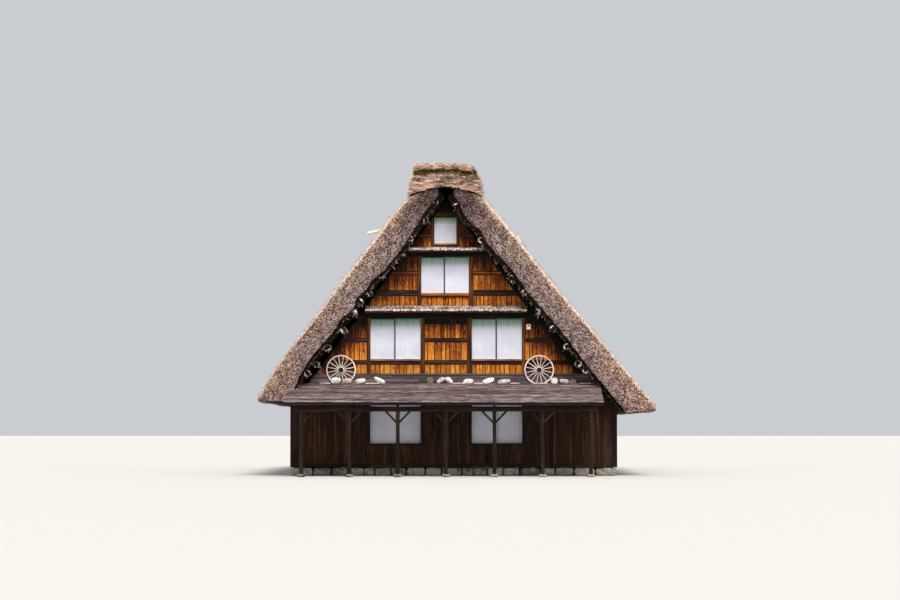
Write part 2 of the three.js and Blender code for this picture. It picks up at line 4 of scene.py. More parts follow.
import bpy
import numpy as np
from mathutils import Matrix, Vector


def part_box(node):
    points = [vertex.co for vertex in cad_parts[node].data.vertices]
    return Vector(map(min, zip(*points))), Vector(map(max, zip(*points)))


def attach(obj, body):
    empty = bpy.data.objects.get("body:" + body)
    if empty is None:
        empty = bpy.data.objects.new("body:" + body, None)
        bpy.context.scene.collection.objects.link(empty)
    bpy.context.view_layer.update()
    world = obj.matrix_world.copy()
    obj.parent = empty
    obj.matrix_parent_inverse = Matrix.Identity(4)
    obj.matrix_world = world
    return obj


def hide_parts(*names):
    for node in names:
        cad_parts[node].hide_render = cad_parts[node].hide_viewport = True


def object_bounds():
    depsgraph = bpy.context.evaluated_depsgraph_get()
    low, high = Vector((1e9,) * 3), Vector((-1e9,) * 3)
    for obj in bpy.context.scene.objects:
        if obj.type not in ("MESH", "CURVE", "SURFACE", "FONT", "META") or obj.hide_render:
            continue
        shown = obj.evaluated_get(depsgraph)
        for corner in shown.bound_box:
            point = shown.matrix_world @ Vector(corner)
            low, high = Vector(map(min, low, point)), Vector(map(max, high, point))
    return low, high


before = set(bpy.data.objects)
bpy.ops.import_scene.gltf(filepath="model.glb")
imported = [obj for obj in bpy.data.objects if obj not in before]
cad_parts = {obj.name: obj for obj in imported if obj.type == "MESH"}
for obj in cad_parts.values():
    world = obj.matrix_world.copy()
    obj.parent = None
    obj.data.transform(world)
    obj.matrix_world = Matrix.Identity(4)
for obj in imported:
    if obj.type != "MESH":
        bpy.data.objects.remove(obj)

cad_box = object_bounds()


def corners(node):
    """The low and the high corner of a CAD node's box."""
    return [np.array(corner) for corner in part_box(node)]


def middle(node):
    return sum(corners(node)) / 2


RIDGE_X = middle("ridge_cap_top")[0]
HOUSE_BOX = [np.array(corner) - (RIDGE_X, 0, 0) for corner in cad_box]
VERGE_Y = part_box("thatch_left_slope")[1].y
BOARD_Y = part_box("rear_gable_frame")[0].y
WALL_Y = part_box("rear_gable_frame")[1].y
ENDS = {"front": -1, "rear": 1}

# Camera: a long lens at eye height, square on to the gable
CAMERA_PLACE = (RIDGE_X, -88.1, 1.7)
CAMERA_PITCH = 3.27
CAMERA_YAW = -0.10
LENS_MM = 89.6
SENSOR_MM = 36


def add_camera():
    data = bpy.data.cameras.new("camera")
    data.lens = LENS_MM
    data.sensor_width = SENSOR_MM
    data.clip_end = 1000
    camera = bpy.data.objects.new("camera", data)
    camera.location = CAMERA_PLACE
    camera.rotation_euler = (math.radians(90 + CAMERA_PITCH), 0, math.radians(CAMERA_YAW))
    bpy.context.scene.collection.objects.link(camera)
    bpy.context.scene.camera = camera


add_camera()


# Roof lines, in the plane of the gable

class Line:
    """The line z = rise + slope * x."""

    def __init__(self, slope, rise):
        self.slope, self.rise = slope, rise

    @classmethod
    def through(cls, a, b):
        slope = (b[1] - a[1]) / (b[0] - a[0])
        return cls(slope, a[1] - slope * a[0])

    def x(self, z):
        return (z - self.rise) / self.slope

    def z(self, x):
        return self.rise + self.slope * x

    def inward(self, distance):
        return Line(self.slope, self.rise - distance * math.hypot(1, self.slope))

    def down(self):
        """The way down the slope, as x and z."""
        return np.array([-1, -self.slope]) * np.sign(self.slope) / math.hypot(1, self.slope)

    def out(self):
        """The way out of the roof, as x and z."""
        return np.array([-self.slope, 1]) / math.hypot(1, self.slope)


THATCH = 0.88
LEFT_OUTER = Line.through((-1.34, 9.89), (-6.66, 2.80))
RIGHT_OUTER = Line.through((1.31, 9.96), (7.49, 2.41))
LEFT_INNER, RIGHT_INNER = LEFT_OUTER.inward(THATCH), RIGHT_OUTER.inward(THATCH)
APEX_X = (RIGHT_INNER.rise - LEFT_INNER.rise) / (LEFT_INNER.slope - RIGHT_INNER.slope)
ARCH_FOOT_Z = 9.93
ARCH_TOP_Z = 10.26
EAVE_ROUND = 0.33
LOG = 0.2
# The middles of the log ends at the verges, across from the ridge and up
LOG_ENDS = {
    -1: [
        (-0.374, 9.705), (-0.72, 9.07), (-1.27, 8.40), (-1.79, 7.72), (-2.27, 7.12), (-2.70, 6.475),
        (-3.05, 6.17), (-3.25, 5.80), (-3.64, 5.16), (-4.18, 4.54), (-4.59, 3.96), (-4.91, 3.625),
        (-5.07, 3.25),
    ],
    1: [
        (0.318, 9.68), (0.742, 9.03), (1.236, 8.356), (1.80, 7.685), (2.33, 7.03), (2.77, 6.50),
        (3.25, 5.82), (3.78, 5.21), (4.27, 4.575), (4.69, 3.975), (4.95, 3.745), (5.51, 3.25),
    ],
}
SLOPES = {
    -1: {"node": "thatch_left_slope", "outer": LEFT_OUTER, "inner": LEFT_INNER, "frame": "left_roof_frame"},
    1: {"node": "thatch_right_slope", "outer": RIGHT_OUTER, "inner": RIGHT_INNER,
        "frame": "right_roof_frame"},
}


# Random values and shapes in plain arrays

def noise(points, size, seed):
    """Smooth values from -1 to 1 at each point, about one bump for each size."""
    cell = np.asarray(points, float) / size
    base = np.floor(cell).astype(np.int64)
    part = cell - base
    part = part * part * (3 - 2 * part)
    total = np.zeros(len(cell))
    for corner in product((0, 1), repeat=3):
        at = base + corner
        code = at[:, 0] * 73856093 ^ at[:, 1] * 19349663 ^ at[:, 2] * 83492791 ^ seed * 2654435761
        code = (code ^ (code >> 13)) * 1274126177
        value = ((code ^ (code >> 16)) & 0xFFFF) / 32767.5 - 1
        total += value * np.where(corner, part, 1 - part).prod(1)
    return total


def on_path(path, share):
    """Points at these shares of a path's length."""
    path = np.asarray(path, float)
    run = np.concatenate([[0], np.cumsum(np.linalg.norm(np.diff(path, axis=0), axis=1))])
    return np.stack([np.interp(share * run[-1], run, path[:, k]) for k in range(path.shape[1])], -1)


def signed_volume(points, faces):
    """Six times the volume that these faces wrap, seen from the middle of the points."""
    ring = points[faces] - points.mean(0)
    fan = np.cross(ring[:, 1:-1], ring[:, 2:])
    return (fan * ring[:, :1]).sum()


class Batch:
    """Closed blocks gathered into one mesh. Each has a UV in metres, a tone of its own from 0 to 1, a level
    that says how far up or out a point is, an edge value that is 1 along a board's edges, and a shade value
    that is 1 where shade is painted in and below 0 where the straw is painted paler."""

    MARKS = ("tone", "level", "edge", "shade")

    def __init__(self):
        self.points, self.loops, self.sizes, self.uv, self.kinds = [], [], [], [], []
        self.marks = {mark: [] for mark in self.MARKS}
        self.count = 0

    def add(self, points, faces, uv, kinds, **marks):
        """faces, uv and kinds are lists with one array for each number of corners."""
        points = np.asarray(points, float)
        turned = sum(signed_volume(points, block) for block in faces) < 0
        for block, corners, kind in zip(faces, uv, kinds):
            if turned:
                block, corners = block[:, ::-1], corners[:, ::-1]
            self.loops.append(block.ravel() + self.count)
            self.sizes.append(np.full(len(block), block.shape[1]))
            self.uv.append(corners.reshape(-1, 2))
            self.kinds.append(np.broadcast_to(kind, len(block)))
        self.points.append(points)
        for mark in self.MARKS:
            self.marks[mark].append(np.broadcast_to(marks.get(mark, 0.0), len(points)))
        self.count += len(points)


def piece(name, batch, materials, replaces=(), smooth=False):
    """The batch as one object that rides on the house."""
    mesh = bpy.data.meshes.new(name)
    points = np.concatenate(batch.points) + (RIDGE_X, 0, 0)
    loops, sizes = np.concatenate(batch.loops), np.concatenate(batch.sizes)
    mesh.vertices.add(len(points))
    mesh.vertices.foreach_set("co", points.ravel())
    mesh.loops.add(len(loops))
    mesh.loops.foreach_set("vertex_index", loops)
    mesh.polygons.add(len(sizes))
    mesh.polygons.foreach_set("loop_start", np.cumsum(sizes) - sizes)
    mesh.polygons.foreach_set("material_index", np.concatenate(batch.kinds))
    mesh.polygons.foreach_set("use_smooth", np.full(len(sizes), smooth))
    mesh.update(calc_edges=True)
    mesh.uv_layers.new(name="UVMap").data.foreach_set("uv", np.concatenate(batch.uv).ravel())
    for mark, values in batch.marks.items():
        data = mesh.attributes.new(mark, "FLOAT", "POINT").data
        data.foreach_set("value", np.concatenate(values).astype(np.float32))
    for material in materials:
        mesh.materials.append(material)
    made = bpy.data.objects.new(name, mesh)
    bpy.context.scene.collection.objects.link(made)
    return settle(made, replaces)


def settle(made, replaces=()):
    """Lets an object ride on the house and hides the CAD nodes it takes over."""
    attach(made, "root")
    if replaces:
        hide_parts(*replaces)
    return made


def repaint(node, material):
    """Gives a CAD node that stays a finish in place of its own."""
    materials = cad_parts[node].data.materials
    materials.clear()
    materials.append(material)


def loft(batch, rings, kind=0, cap_kind=None, cap_axes=None, closed=False, **marks):
    """A tube through rings of points, capped at both ends or closed on itself. U runs along it."""
    rings = np.asarray(rings, float)
    count, corners = rings.shape[:2]
    grid = np.arange(count * corners).reshape(count, corners)
    here, there = (grid, np.roll(grid, -1, 0)) if closed else (grid[:-1], grid[1:])
    quads = np.stack([here, np.roll(here, -1, 1), np.roll(there, -1, 1), there], -1).reshape(-1, 4)
    centres = rings.mean(1)
    steps = np.linalg.norm(np.roll(centres, -1, 0) - centres, axis=1)[: len(here)]
    run = np.concatenate([[0], np.cumsum(steps)])
    widest = rings[count // 2]
    girth = np.concatenate([[0], np.cumsum(np.linalg.norm(np.roll(widest, -1, 0) - widest, axis=1))])
    u0, v0 = np.meshgrid(run[:-1], girth[:-1], indexing="ij")
    u1, v1 = np.meshgrid(run[1:], girth[1:], indexing="ij")
    uv = np.stack([u0, v0, u0, v1, u1, v1, u1, v0], -1).reshape(-1, 4, 2)
    for mark, value in marks.items():
        if np.ndim(value) == 1 and len(value) == count:
            marks[mark] = np.repeat(value, corners)
    if closed:
        batch.add(rings.reshape(-1, 3), [quads], [uv], [kind], **marks)
        return
    if cap_axes is None:
        first = rings[0, 1] - rings[0, 0]
        second = np.cross(centres[-1] - centres[0], first)
        cap_axes = [first / np.linalg.norm(first), second / np.linalg.norm(second)]
    caps = np.stack([grid[0][::-1], grid[-1]])
    ends = (rings[0][::-1] - centres[0], rings[-1] - centres[-1])
    flat = np.stack([ring @ np.array(cap_axes).T for ring in ends])
    kinds = [kind, kind if cap_kind is None else cap_kind]
    batch.add(rings.reshape(-1, 3), [quads, caps], [uv, flat], kinds, **marks)


def unit(vector):
    """The vector at a length of 1."""
    vector = np.asarray(vector, float)
    return vector / np.linalg.norm(vector)


def bar(batch, start, end, width, depth, across, chamfer=0.006, bow=0.0, steps=1, **more):
    """A squared timber with chamfered edges, its width along across. bow bends it sideways in its middle."""
    start, end = np.asarray(start, float), np.asarray(end, float)
    length = np.linalg.norm(end - start)
    axis = (end - start) / length
    across = unit(across - axis * np.dot(across, axis))
    other = np.cross(axis, across)
    w, d, c = width / 2, depth / 2, min(chamfer, width / 4, depth / 4)
    section = np.array([
        (w - c, -d), (w, c - d), (w, d - c), (w - c, d), (c - w, d), (-w, d - c), (-w, c - d), (c - w, -d),
    ])
    shares = np.concatenate([[0], np.linspace(c / length, 1 - c / length, steps + 1), [1]])
    small = np.array([(w - c) / w, (d - c) / d])
    rings = []
    for share in shares:
        size = small if share in (0, 1) else 1
        centre = start + (end - start) * share + across * bow * math.sin(math.pi * share)
        flat = section * size
        rings.append(centre + flat[:, :1] * across + flat[:, 1:] * other)
    loft(batch, rings, cap_axes=(across, other), **more)


def log(batch, start, end, radius, seed, shares, sides=14, rough=0.06, bend=0.0, **more):
    """A round pole, a little uneven in its thickness. bend moves its centre line at each of the shares."""
    start, end = np.asarray(start, float), np.asarray(end, float)
    axis = unit(end - start)
    first = unit(np.cross(axis, (0.3, 0.1, 1)))
    second = np.cross(axis, first)
    turn = np.arange(sides) * 2 * math.pi / sides
    ring = np.cos(turn)[:, None] * first + np.sin(turn)[:, None] * second
    shares = np.asarray(shares, float)
    centres = start + np.outer(shares, end - start) + bend
    points = (centres[:, None] + ring * radius).reshape(-1, 3)
    swell = 1 + rough * noise(points, 4 * radius, seed)
    rings = centres[:, None] + ring * (radius * swell.reshape(len(shares), sides, 1))
    loft(batch, rings, cap_axes=(first, second), **more)


def hoop(batch, centre, axis, radius, section, steps, arc=None, **more):
    """A ring about an axis, whose section is given as steps outward and along the axis."""
    axis = unit(axis)
    first = unit(np.cross(axis, (0.2, 0.3, 1)))
    second = np.cross(axis, first)
    low, high = arc or (0, 2 * math.pi)
    turn = np.linspace(low, high, steps, endpoint=arc is not None)
    rings = [
        np.asarray(centre) + (first * math.cos(t) + second * math.sin(t))
        * (radius + np.array(section)[:, :1])
        + axis * np.array(section)[:, 1:]
        for t in turn
    ]
    loft(batch, rings, closed=arc is None, **more)


def circle(radius, sides):
    """The corners of an even polygon about the origin."""
    turn = np.arange(sides) * 2 * math.pi / sides
    return np.stack([radius * np.cos(turn), radius * np.sin(turn)], -1)


def shell(cells):
    """Lattice steps of the points on a box of cells, and the quads that close it, facing out."""
    inside = np.zeros([n + 1 for n in cells], bool)
    inside[1:-1, 1:-1, 1:-1] = True
    index = np.full(inside.shape, -1)
    index[~inside] = np.arange((~inside).sum())
    quads, sides = [], []
    for axis, far in product(range(3), (0, 1)):
        face = index.take(-1 if far else 0, axis=axis)
        ring = np.stack([face[:-1, :-1], face[1:, :-1], face[1:, 1:], face[:-1, 1:]], -1).reshape(-1, 4)
        quads.append(ring[:, ::-1] if (axis == 1) == bool(far) else ring)
        sides.append(np.full(len(ring), 2 * axis + far))
    return np.argwhere(~inside), np.concatenate(quads), np.concatenate(sides)


def shell_on(size, cells, ys):
    """A shell's points in metres on a box of this size with lines at ys along it, its quads and their
    sides."""
    cells = (*cells, len(ys) - 1)
    steps, quads, sides = shell(cells)
    first, second = steps[:, 0] / cells[0] * size[0], steps[:, 1] / cells[1] * size[1]
    return np.stack([first, second, ys[steps[:, 2]] - ys[0]], -1), quads, sides


def rounded(points, size, radius):
    """Points on the box from 0 to size moved onto the same box with rounded edges, and the way out there.
    radius is one value or one for each point."""
    size, radius = np.asarray(size, float), np.broadcast_to(radius, len(points))[:, None]
    core = np.clip(points, radius, size - radius)
    way = points - core
    way /= np.linalg.norm(way, axis=1, keepdims=True)
    return core + way * radius, way


# Materials

def linear(colour):
    """An sRGB hex colour as linear red, green, blue and alpha."""
    parts = [int(colour[k : k + 2], 16) / 255 for k in (1, 3, 5)]
    return [p / 12.92 if p <= 0.04045 else ((p + 0.055) / 1.055) ** 2.4 for p in parts] + [1]


def add(tree, kind, inputs=None, stops=None, **settings):
    """Adds a node. inputs holds, by name or number, a value or a hex colour, or a socket or a node to link
    from. A node gives the first of its outputs that is in use."""
    made = tree.nodes.new(kind)
    for name, value in settings.items():
        setattr(made, name, value)
    for name, value in (inputs or {}).items():
        if isinstance(value, bpy.types.Node):
            value = next(output for output in value.outputs if output.enabled)
        if isinstance(value, bpy.types.NodeSocket):
            tree.links.new(value, made.inputs[name])
        elif isinstance(value, str) and value.startswith("#"):
            made.inputs[name].default_value = linear(value)
        else:
            made.inputs[name].default_value = value
    if stops:
        marks = made.color_ramp.elements
        while len(marks) < len(stops):
            marks.new(1)
        for mark, (place, colour) in zip(marks, stops):
            mark.position, mark.color = place, linear(colour)
    return made


# The inputs and the settings of a Mix node that lays one colour over another
SHARE, UNDER, OVER = 0, 6, 7
MIX = {"data_type": "RGBA", "clamp_factor": True}
MULTIPLY = {"blend_type": "MULTIPLY", **MIX}
# How far the pattern is shifted between a block with tone 0 and one with tone 1, in lengths of the pattern
UNEVEN = 40.0


def finish(name, recipe, roughness, relief, ior=1.25):
    """A material whose recipe gives its colour and its height; relief is the bump's height in metres."""
    made = bpy.data.materials.new(name)
    made.use_nodes = True
    tree = made.node_tree
    tree.nodes.clear()
    colour, height = recipe(tree)
    bump = add(tree, "ShaderNodeBump", {"Strength": 1.0, "Distance": relief, "Height": height})
    shader = add(tree, "ShaderNodeBsdfPrincipled", {
        "Base Color": colour, "Roughness": roughness, "IOR": ior, "Normal": bump,
    })
    add(tree, "ShaderNodeOutputMaterial", {"Surface": shader})
    return made


def streaks(tree, size, detail=5.0, loose=0.0):
    """Noise drawn out along the piece, its own on each block. size is the streaks' length and width in
    metres, or their size along x, y and z for a piece that has no UV. loose is how many lengths the fibres
    are shifted against each other, so that their ends don't line up in rows."""
    scale = [1 / part for part in size]
    if len(size) == 3:
        place = add(tree, "ShaderNodeTexCoord").outputs["Object"]
    else:
        place = add(tree, "ShaderNodeUVMap", uv_map="UVMap")
        scale.append(0)
    tone = add(tree, "ShaderNodeAttribute", attribute_name="tone").outputs["Vector"]
    own = add(tree, "ShaderNodeVectorMath", {0: tone, 1: (UNEVEN, UNEVEN, UNEVEN)}, operation="MULTIPLY")
    spot = add(tree, "ShaderNodeVectorMath", {0: place, 1: scale, 2: own}, operation="MULTIPLY_ADD")
    if loose:
        across = add(tree, "ShaderNodeSeparateXYZ", {0: spot}).outputs["Y"]
        start = add(tree, "ShaderNodeTexNoise", {"W": across, "Scale": 1.0, "Detail": 1.0},
                    noise_dimensions="1D")
        spot = add(tree, "ShaderNodeVectorMath", {0: start, 1: (loose, 0, 0), 2: spot},
                   operation="MULTIPLY_ADD")
    return add(tree, "ShaderNodeTexNoise", {"Vector": spot, "Scale": 1.0, "Detail": detail, "Roughness": 0.6})


def blotches(tree, size, detail=4.0):
    """Noise of this size in metres in every direction."""
    place = add(tree, "ShaderNodeTexCoord").outputs["Object"]
    return add(tree, "ShaderNodeTexNoise", {
        "Vector": place, "Scale": 1 / size, "Detail": detail, "Roughness": 0.6,
    })


def weighed(tree, parts, rest=0.0):
    """The sum of the rest and of each pattern times its weight."""
    for pattern, weight in parts:
        rest = add(tree, "ShaderNodeMath", {0: pattern, 1: weight, 2: rest}, operation="MULTIPLY_ADD")
    return rest


def toned(tree, colour, low, high):
    """The colour made darker or lighter on each block, by its tone."""
    tone = add(tree, "ShaderNodeAttribute", attribute_name="tone").outputs["Fac"]
    value = add(tree, "ShaderNodeMapRange", {"Value": tone, "To Min": low, "To Max": high})
    grey = add(tree, "ShaderNodeCombineColor", {0: value, 1: value, 2: value})
    return add(tree, "ShaderNodeMix", {SHARE: 1.0, UNDER: colour, OVER: grey}, **MULTIPLY)


def wood(colours, size, contrast=(0.35, 0.65), tone_range=(0.72, 1.18)):
    """Grain in three colours, from the dark of the late wood to the bleached ridges, each timber its own."""
    low, high = contrast
    stops = [(low, colours[0]), ((low + high) / 2, colours[1]), (high, colours[2])]
    broad_size = [part * 5 for part in size] if len(size) == 3 else (size[0] * 2, size[1] * 5)

    def recipe(tree):
        grain, broad = streaks(tree, size), streaks(tree, broad_size, 2.0)
        ramp = add(tree, "ShaderNodeValToRGB", {"Fac": weighed(tree, [(grain, 0.6), (broad, 0.4)])}, stops)
        return toned(tree, ramp, *tone_range), grain

    return recipe


def grained(name, colours, size, roughness, relief, **more):
    """A finish of wood or straw from its three colours and the size of its streaks."""
    return finish(name, wood(colours.split(), size, **more), roughness, relief)


def sunlit_boards(tree):
    """Cedar boards: bright orange streaks at the foot of each bay, brown in the painted shade under the
    pents, dark at the joints."""
    tone, level, edge = (
        add(tree, "ShaderNodeAttribute", attribute_name=mark).outputs["Fac"]
        for mark in ("tone", "level", "edge")
    )
    grain = streaks(tree, (0.30, 0.016), 4.0)
    mottle = streaks(tree, (0.11, 0.045), 4.0)
    drips = streaks(tree, (0.6, 0.07), 3.0)
    own = add(tree, "ShaderNodeMapRange", {"Value": tone, "To Min": -0.37, "To Max": -0.25})
    mixed = weighed(tree, [(grain, 0.62), (mottle, 0.50), (drips, 0.26)], own)
    # Rain that splashes up has bleached the foot of each bay, and dark runs come down into it. The level also
    # carries the painted sun and shade, so it brightens the grain as well.
    bleached_and_sunlit = add(tree, "ShaderNodeMath", {0: level, 1: 0.26, 2: mixed}, operation="MULTIPLY_ADD")
    # Painted light: a sunlit ramp and a shaded ramp, mixed by the level.
    bright = add(tree, "ShaderNodeValToRGB", {"Fac": bleached_and_sunlit}, [
        (0.39, "#2C0F08"), (0.46, "#76300C"), (0.53, "#A85314"), (0.61, "#C67424"), (0.78, "#EAA246"),
    ])
    shaded = add(tree, "ShaderNodeValToRGB", {"Fac": mixed}, [
        (0.28, "#140907"), (0.42, "#4A2212"), (0.58, "#925022"),
    ])
    lit = add(tree, "ShaderNodeMapRange", {"Value": level, "From Min": 0.05, "From Max": 0.55})
    colour = add(tree, "ShaderNodeMix", {SHARE: lit, UNDER: shaded, OVER: bright}, **MIX)
    colour = toned(tree, colour, 0.66, 0.98)
    joint = add(tree, "ShaderNodeMapRange", {
        "Value": edge, "From Min": 0.20, "From Max": 0.85, "To Max": 0.85,
    })
    return add(tree, "ShaderNodeMix", {SHARE: joint, UNDER: colour, OVER: "#230F07"}, **MIX), grain


# A bundle of reeds at the cut face, along the slope and through the thatch, in metres
BUNDLE = (0.05, 0.04)


def cut_straw(tree):
    """Reed ends cut off square: a fine stipple of pale ends and dark holes, purple grey where it is sheltered
    and orange brown in the outer half, with a painted highlight along the upper edge and painted shade under
    the bale."""
    level, edge, shade = (
        add(tree, "ShaderNodeAttribute", attribute_name=mark).outputs["Fac"]
        for mark in ("level", "edge", "shade")
    )
    place = add(tree, "ShaderNodeUVMap", uv_map="UVMap")
    spot = add(tree, "ShaderNodeVectorMath", {0: place, 1: (1 / BUNDLE[0], 1 / BUNDLE[1], 0)},
               operation="MULTIPLY")
    bundles = add(tree, "ShaderNodeTexVoronoi", {"Vector": spot, "Scale": 1.0}, voronoi_dimensions="2D")
    own = add(tree, "ShaderNodeSeparateColor", {0: bundles.outputs["Color"]})
    ends = streaks(tree, (0.038, 0.020), 3.0)
    holes = blotches(tree, 0.26, 3.0)
    mixed = weighed(tree, [(ends, 0.92), (holes, 0.13), (own, 0.16)], -0.122)
    inner = add(tree, "ShaderNodeValToRGB", {"Fac": mixed}, [
        (0.38, "#1A1214"), (0.45, "#4A3A3F"), (0.53, "#876F70"), (0.62, "#D6BFBE"),
    ])
    outer = add(tree, "ShaderNodeValToRGB", {"Fac": mixed}, [
        (0.38, "#20130F"), (0.45, "#60463B"), (0.53, "#A48372"), (0.62, "#F0D3C3"),
    ])
    depth = weighed(tree, [(blotches(tree, 0.6), 1.6), (edge, 1.0)], -0.8)
    share = add(tree, "ShaderNodeMapRange", {"Value": depth, "From Min": 0.25, "From Max": 0.85})
    colour = add(tree, "ShaderNodeMix", {SHARE: share, UNDER: inner, OVER: outer}, **MIX)
    # Some reeds have kept their yellow.
    yellow = add(tree, "ShaderNodeMapRange", {
        "Value": blotches(tree, 0.045, 1.0), "From Min": 0.52, "From Max": 0.66, "To Max": 0.20,
    })
    colour = add(tree, "ShaderNodeMix", {SHARE: yellow, UNDER: colour, OVER: "#A08A42"}, **MIX)
    # Painted shade under the bale, where the shade is above 0.
    painted_shade_share = add(tree, "ShaderNodeMapRange", {"Value": shade, "To Max": 0.9})
    colour = add(tree, "ShaderNodeMix", {SHARE: painted_shade_share, UNDER: colour, OVER: "#A09498"}, **MULTIPLY)
    # The straw is painted paler at the eaves, where the shade is below 0.
    paler_share = add(tree, "ShaderNodeMapRange", {"Value": shade, "From Max": -1, "To Max": 0.32})
    colour = add(tree, "ShaderNodeMix", {SHARE: paler_share, UNDER: colour, OVER: "#CDBAB2"}, blend_type="OVERLAY",
                 **MIX)
    # Painted highlight along the verge's upper edge, where the light catches it.
    upper = add(tree, "ShaderNodeMapRange", {"Value": level, "From Min": 0.35, "From Max": 0.90})
    painted_highlight = add(tree, "ShaderNodeValToRGB", {"Fac": mixed}, [
        (0.36, "#8C6A5D"), (0.46, "#DDC1B4"), (0.58, "#FFF4EC"),
    ])
    return add(tree, "ShaderNodeMix", {SHARE: upper, UNDER: colour, OVER: painted_highlight}, **MIX), mixed


def long_straw(tree):
    """Straw that lies down the slope: long weathered fibres with darker runs and some moss."""
    level = add(tree, "ShaderNodeAttribute", attribute_name="level").outputs["Fac"]
    fibre = streaks(tree, (0.22, 0.03), loose=12.0)
    runs = streaks(tree, (2.6, 0.30), loose=3.0)
    colour = add(tree, "ShaderNodeValToRGB", {"Fac": fibre}, [
        (0.34, "#4C3C33"), (0.48, "#917B6B"), (0.62, "#CDB6A2"),
    ])
    # Each pattern lays its own colour over the fibres, where it lies between low and high.
    for pattern, low, high, most, over in (
        (runs, 0.45, 0.66, 0.6, "#5B4A3F"),
        (blotches(tree, 1.4), 0.50, 0.70, 0.4, "#B99B78"),
        (blotches(tree, 0.6), 0.58, 0.70, 0.5, "#6F6B38"),
    ):
        share = add(tree, "ShaderNodeMapRange", {
            "Value": pattern, "From Min": low, "From Max": high, "To Max": most,
        })
        colour = add(tree, "ShaderNodeMix", {SHARE: share, UNDER: colour, OVER: over}, **MIX)
    # Painted highlight: the straw is paler along the verge, where the light catches its upper edge.
    edge = add(tree, "ShaderNodeMapRange", {"Value": level, "From Min": 0.55, "To Max": 0.55})
    painted_highlight = add(tree, "ShaderNodeValToRGB", {"Fac": fibre}, [(0.35, "#D8BDA8"), (0.60, "#FDF0DF")])
    return add(tree, "ShaderNodeMix", {SHARE: edge, UNDER: colour, OVER: painted_highlight}, **MIX), fibre


def rice_straw(strand_size, layer_size):
    """Newer rice straw bent over the ridge, light brown strands with dark gaps, mossy towards the top."""
    def recipe(tree):
        level = add(tree, "ShaderNodeAttribute", attribute_name="level").outputs["Fac"]
        strand, layer = streaks(tree, strand_size), streaks(tree, layer_size, 3.0)
        mixed = weighed(tree, [(strand, 0.80), (layer, 0.4)], -0.10)
        colour = add(tree, "ShaderNodeValToRGB", {"Fac": mixed}, [
            (0.38, "#22130E"), (0.45, "#735244"), (0.53, "#B08F7D"), (0.61, "#FBE6D8"),
        ])
        # The straw is orange where it has just been laid bare, and mossy where it stays wet.
        bare = add(tree, "ShaderNodeMapRange", {
            "Value": blotches(tree, 0.35, 3.0), "From Min": 0.50, "From Max": 0.66, "To Max": 0.7,
        })
        colour = add(tree, "ShaderNodeMix", {SHARE: bare, UNDER: colour, OVER: "#C08A45"},
                     blend_type="SOFT_LIGHT", **MIX)
        moss = add(tree, "ShaderNodeMapRange", {
            "Value": blotches(tree, 0.16, 4.0), "From Min": 0.46, "From Max": 0.60,
        })
        top = add(tree, "ShaderNodeMapRange", {
            "Value": level, "From Min": 0.55, "From Max": 0.95, "To Max": 0.8,
        })
        share = add(tree, "ShaderNodeMath", {0: moss, 1: top}, operation="MULTIPLY")
        green = add(tree, "ShaderNodeValToRGB", {"Fac": mixed}, [
            (0.38, "#3A280E"), (0.48, "#8E7A2A"), (0.60, "#DCCE62"),
        ])
        return add(tree, "ShaderNodeMix", {SHARE: share, UNDER: colour, OVER: green}, **MIX), mixed

    return recipe


# The bars behind the paper stand this far apart, in metres.
PAPER_BAR_PITCH = 0.08


def paper(tree):
    """White paper on a fine lattice: faint lines where the bars lie behind it, and painted shade under the
    pent that turns green-grey at the top.
    """
    level = add(tree, "ShaderNodeAttribute", attribute_name="level").outputs["Fac"]
    place = add(tree, "ShaderNodeUVMap", uv_map="UVMap")
    across = add(tree, "ShaderNodeSeparateXYZ", {0: place}).outputs["Y"]
    beat = add(tree, "ShaderNodeMath", {0: across, 1: PAPER_BAR_PITCH}, operation="PINGPONG")
    line = add(tree, "ShaderNodeMapRange", {"Value": beat, "From Max": 0.014, "To Min": 0.45, "To Max": 0.0})
    sheet = add(tree, "ShaderNodeValToRGB", {"Fac": blotches(tree, 0.5)},
                [(0.35, "#CBCBDB"), (0.65, "#DADAE5")])
    colour = add(tree, "ShaderNodeMix", {SHARE: line, UNDER: sheet, OVER: "#B0B2C6"}, **MIX)
    # Painted shade: greyer towards the head of the leaf, and green-grey at its very top under the pent.
    shaded = add(tree, "ShaderNodeMapRange", {
        "Value": level, "From Min": 0.30, "From Max": 0.80, "To Max": 0.45,
    })
    colour = add(tree, "ShaderNodeMix", {SHARE: shaded, UNDER: colour, OVER: "#B4BAC6"}, **MIX)
    runs = streaks(tree, (0.8, 0.03), 3.0)
    ragged = add(tree, "ShaderNodeMath", {0: runs, 1: 0.25, 2: level}, operation="MULTIPLY_ADD")
    upper = add(tree, "ShaderNodeMapRange", {
        "Value": ragged, "From Min": 0.86, "From Max": 1.08, "To Max": 0.95,
    })
    return add(tree, "ShaderNodeMix", {SHARE: upper, UNDER: colour, OVER: "#5F8A66"}, **MIX), beat


def stone(dark, light, size):
    """Speckle between two colours, each stone a little darker or lighter than the next."""
    def recipe(tree):
        speckle = blotches(tree, size, 6.0)
        tone = add(tree, "ShaderNodeAttribute", attribute_name="tone").outputs["Fac"]
        own = add(tree, "ShaderNodeMapRange", {"Value": tone, "To Min": -0.12, "To Max": 0.12})
        mixed = add(tree, "ShaderNodeMath", {0: speckle, 1: own}, operation="ADD")
        return add(tree, "ShaderNodeValToRGB", {"Fac": mixed}, [(0.35, dark), (0.62, light)]), speckle

    return recipe


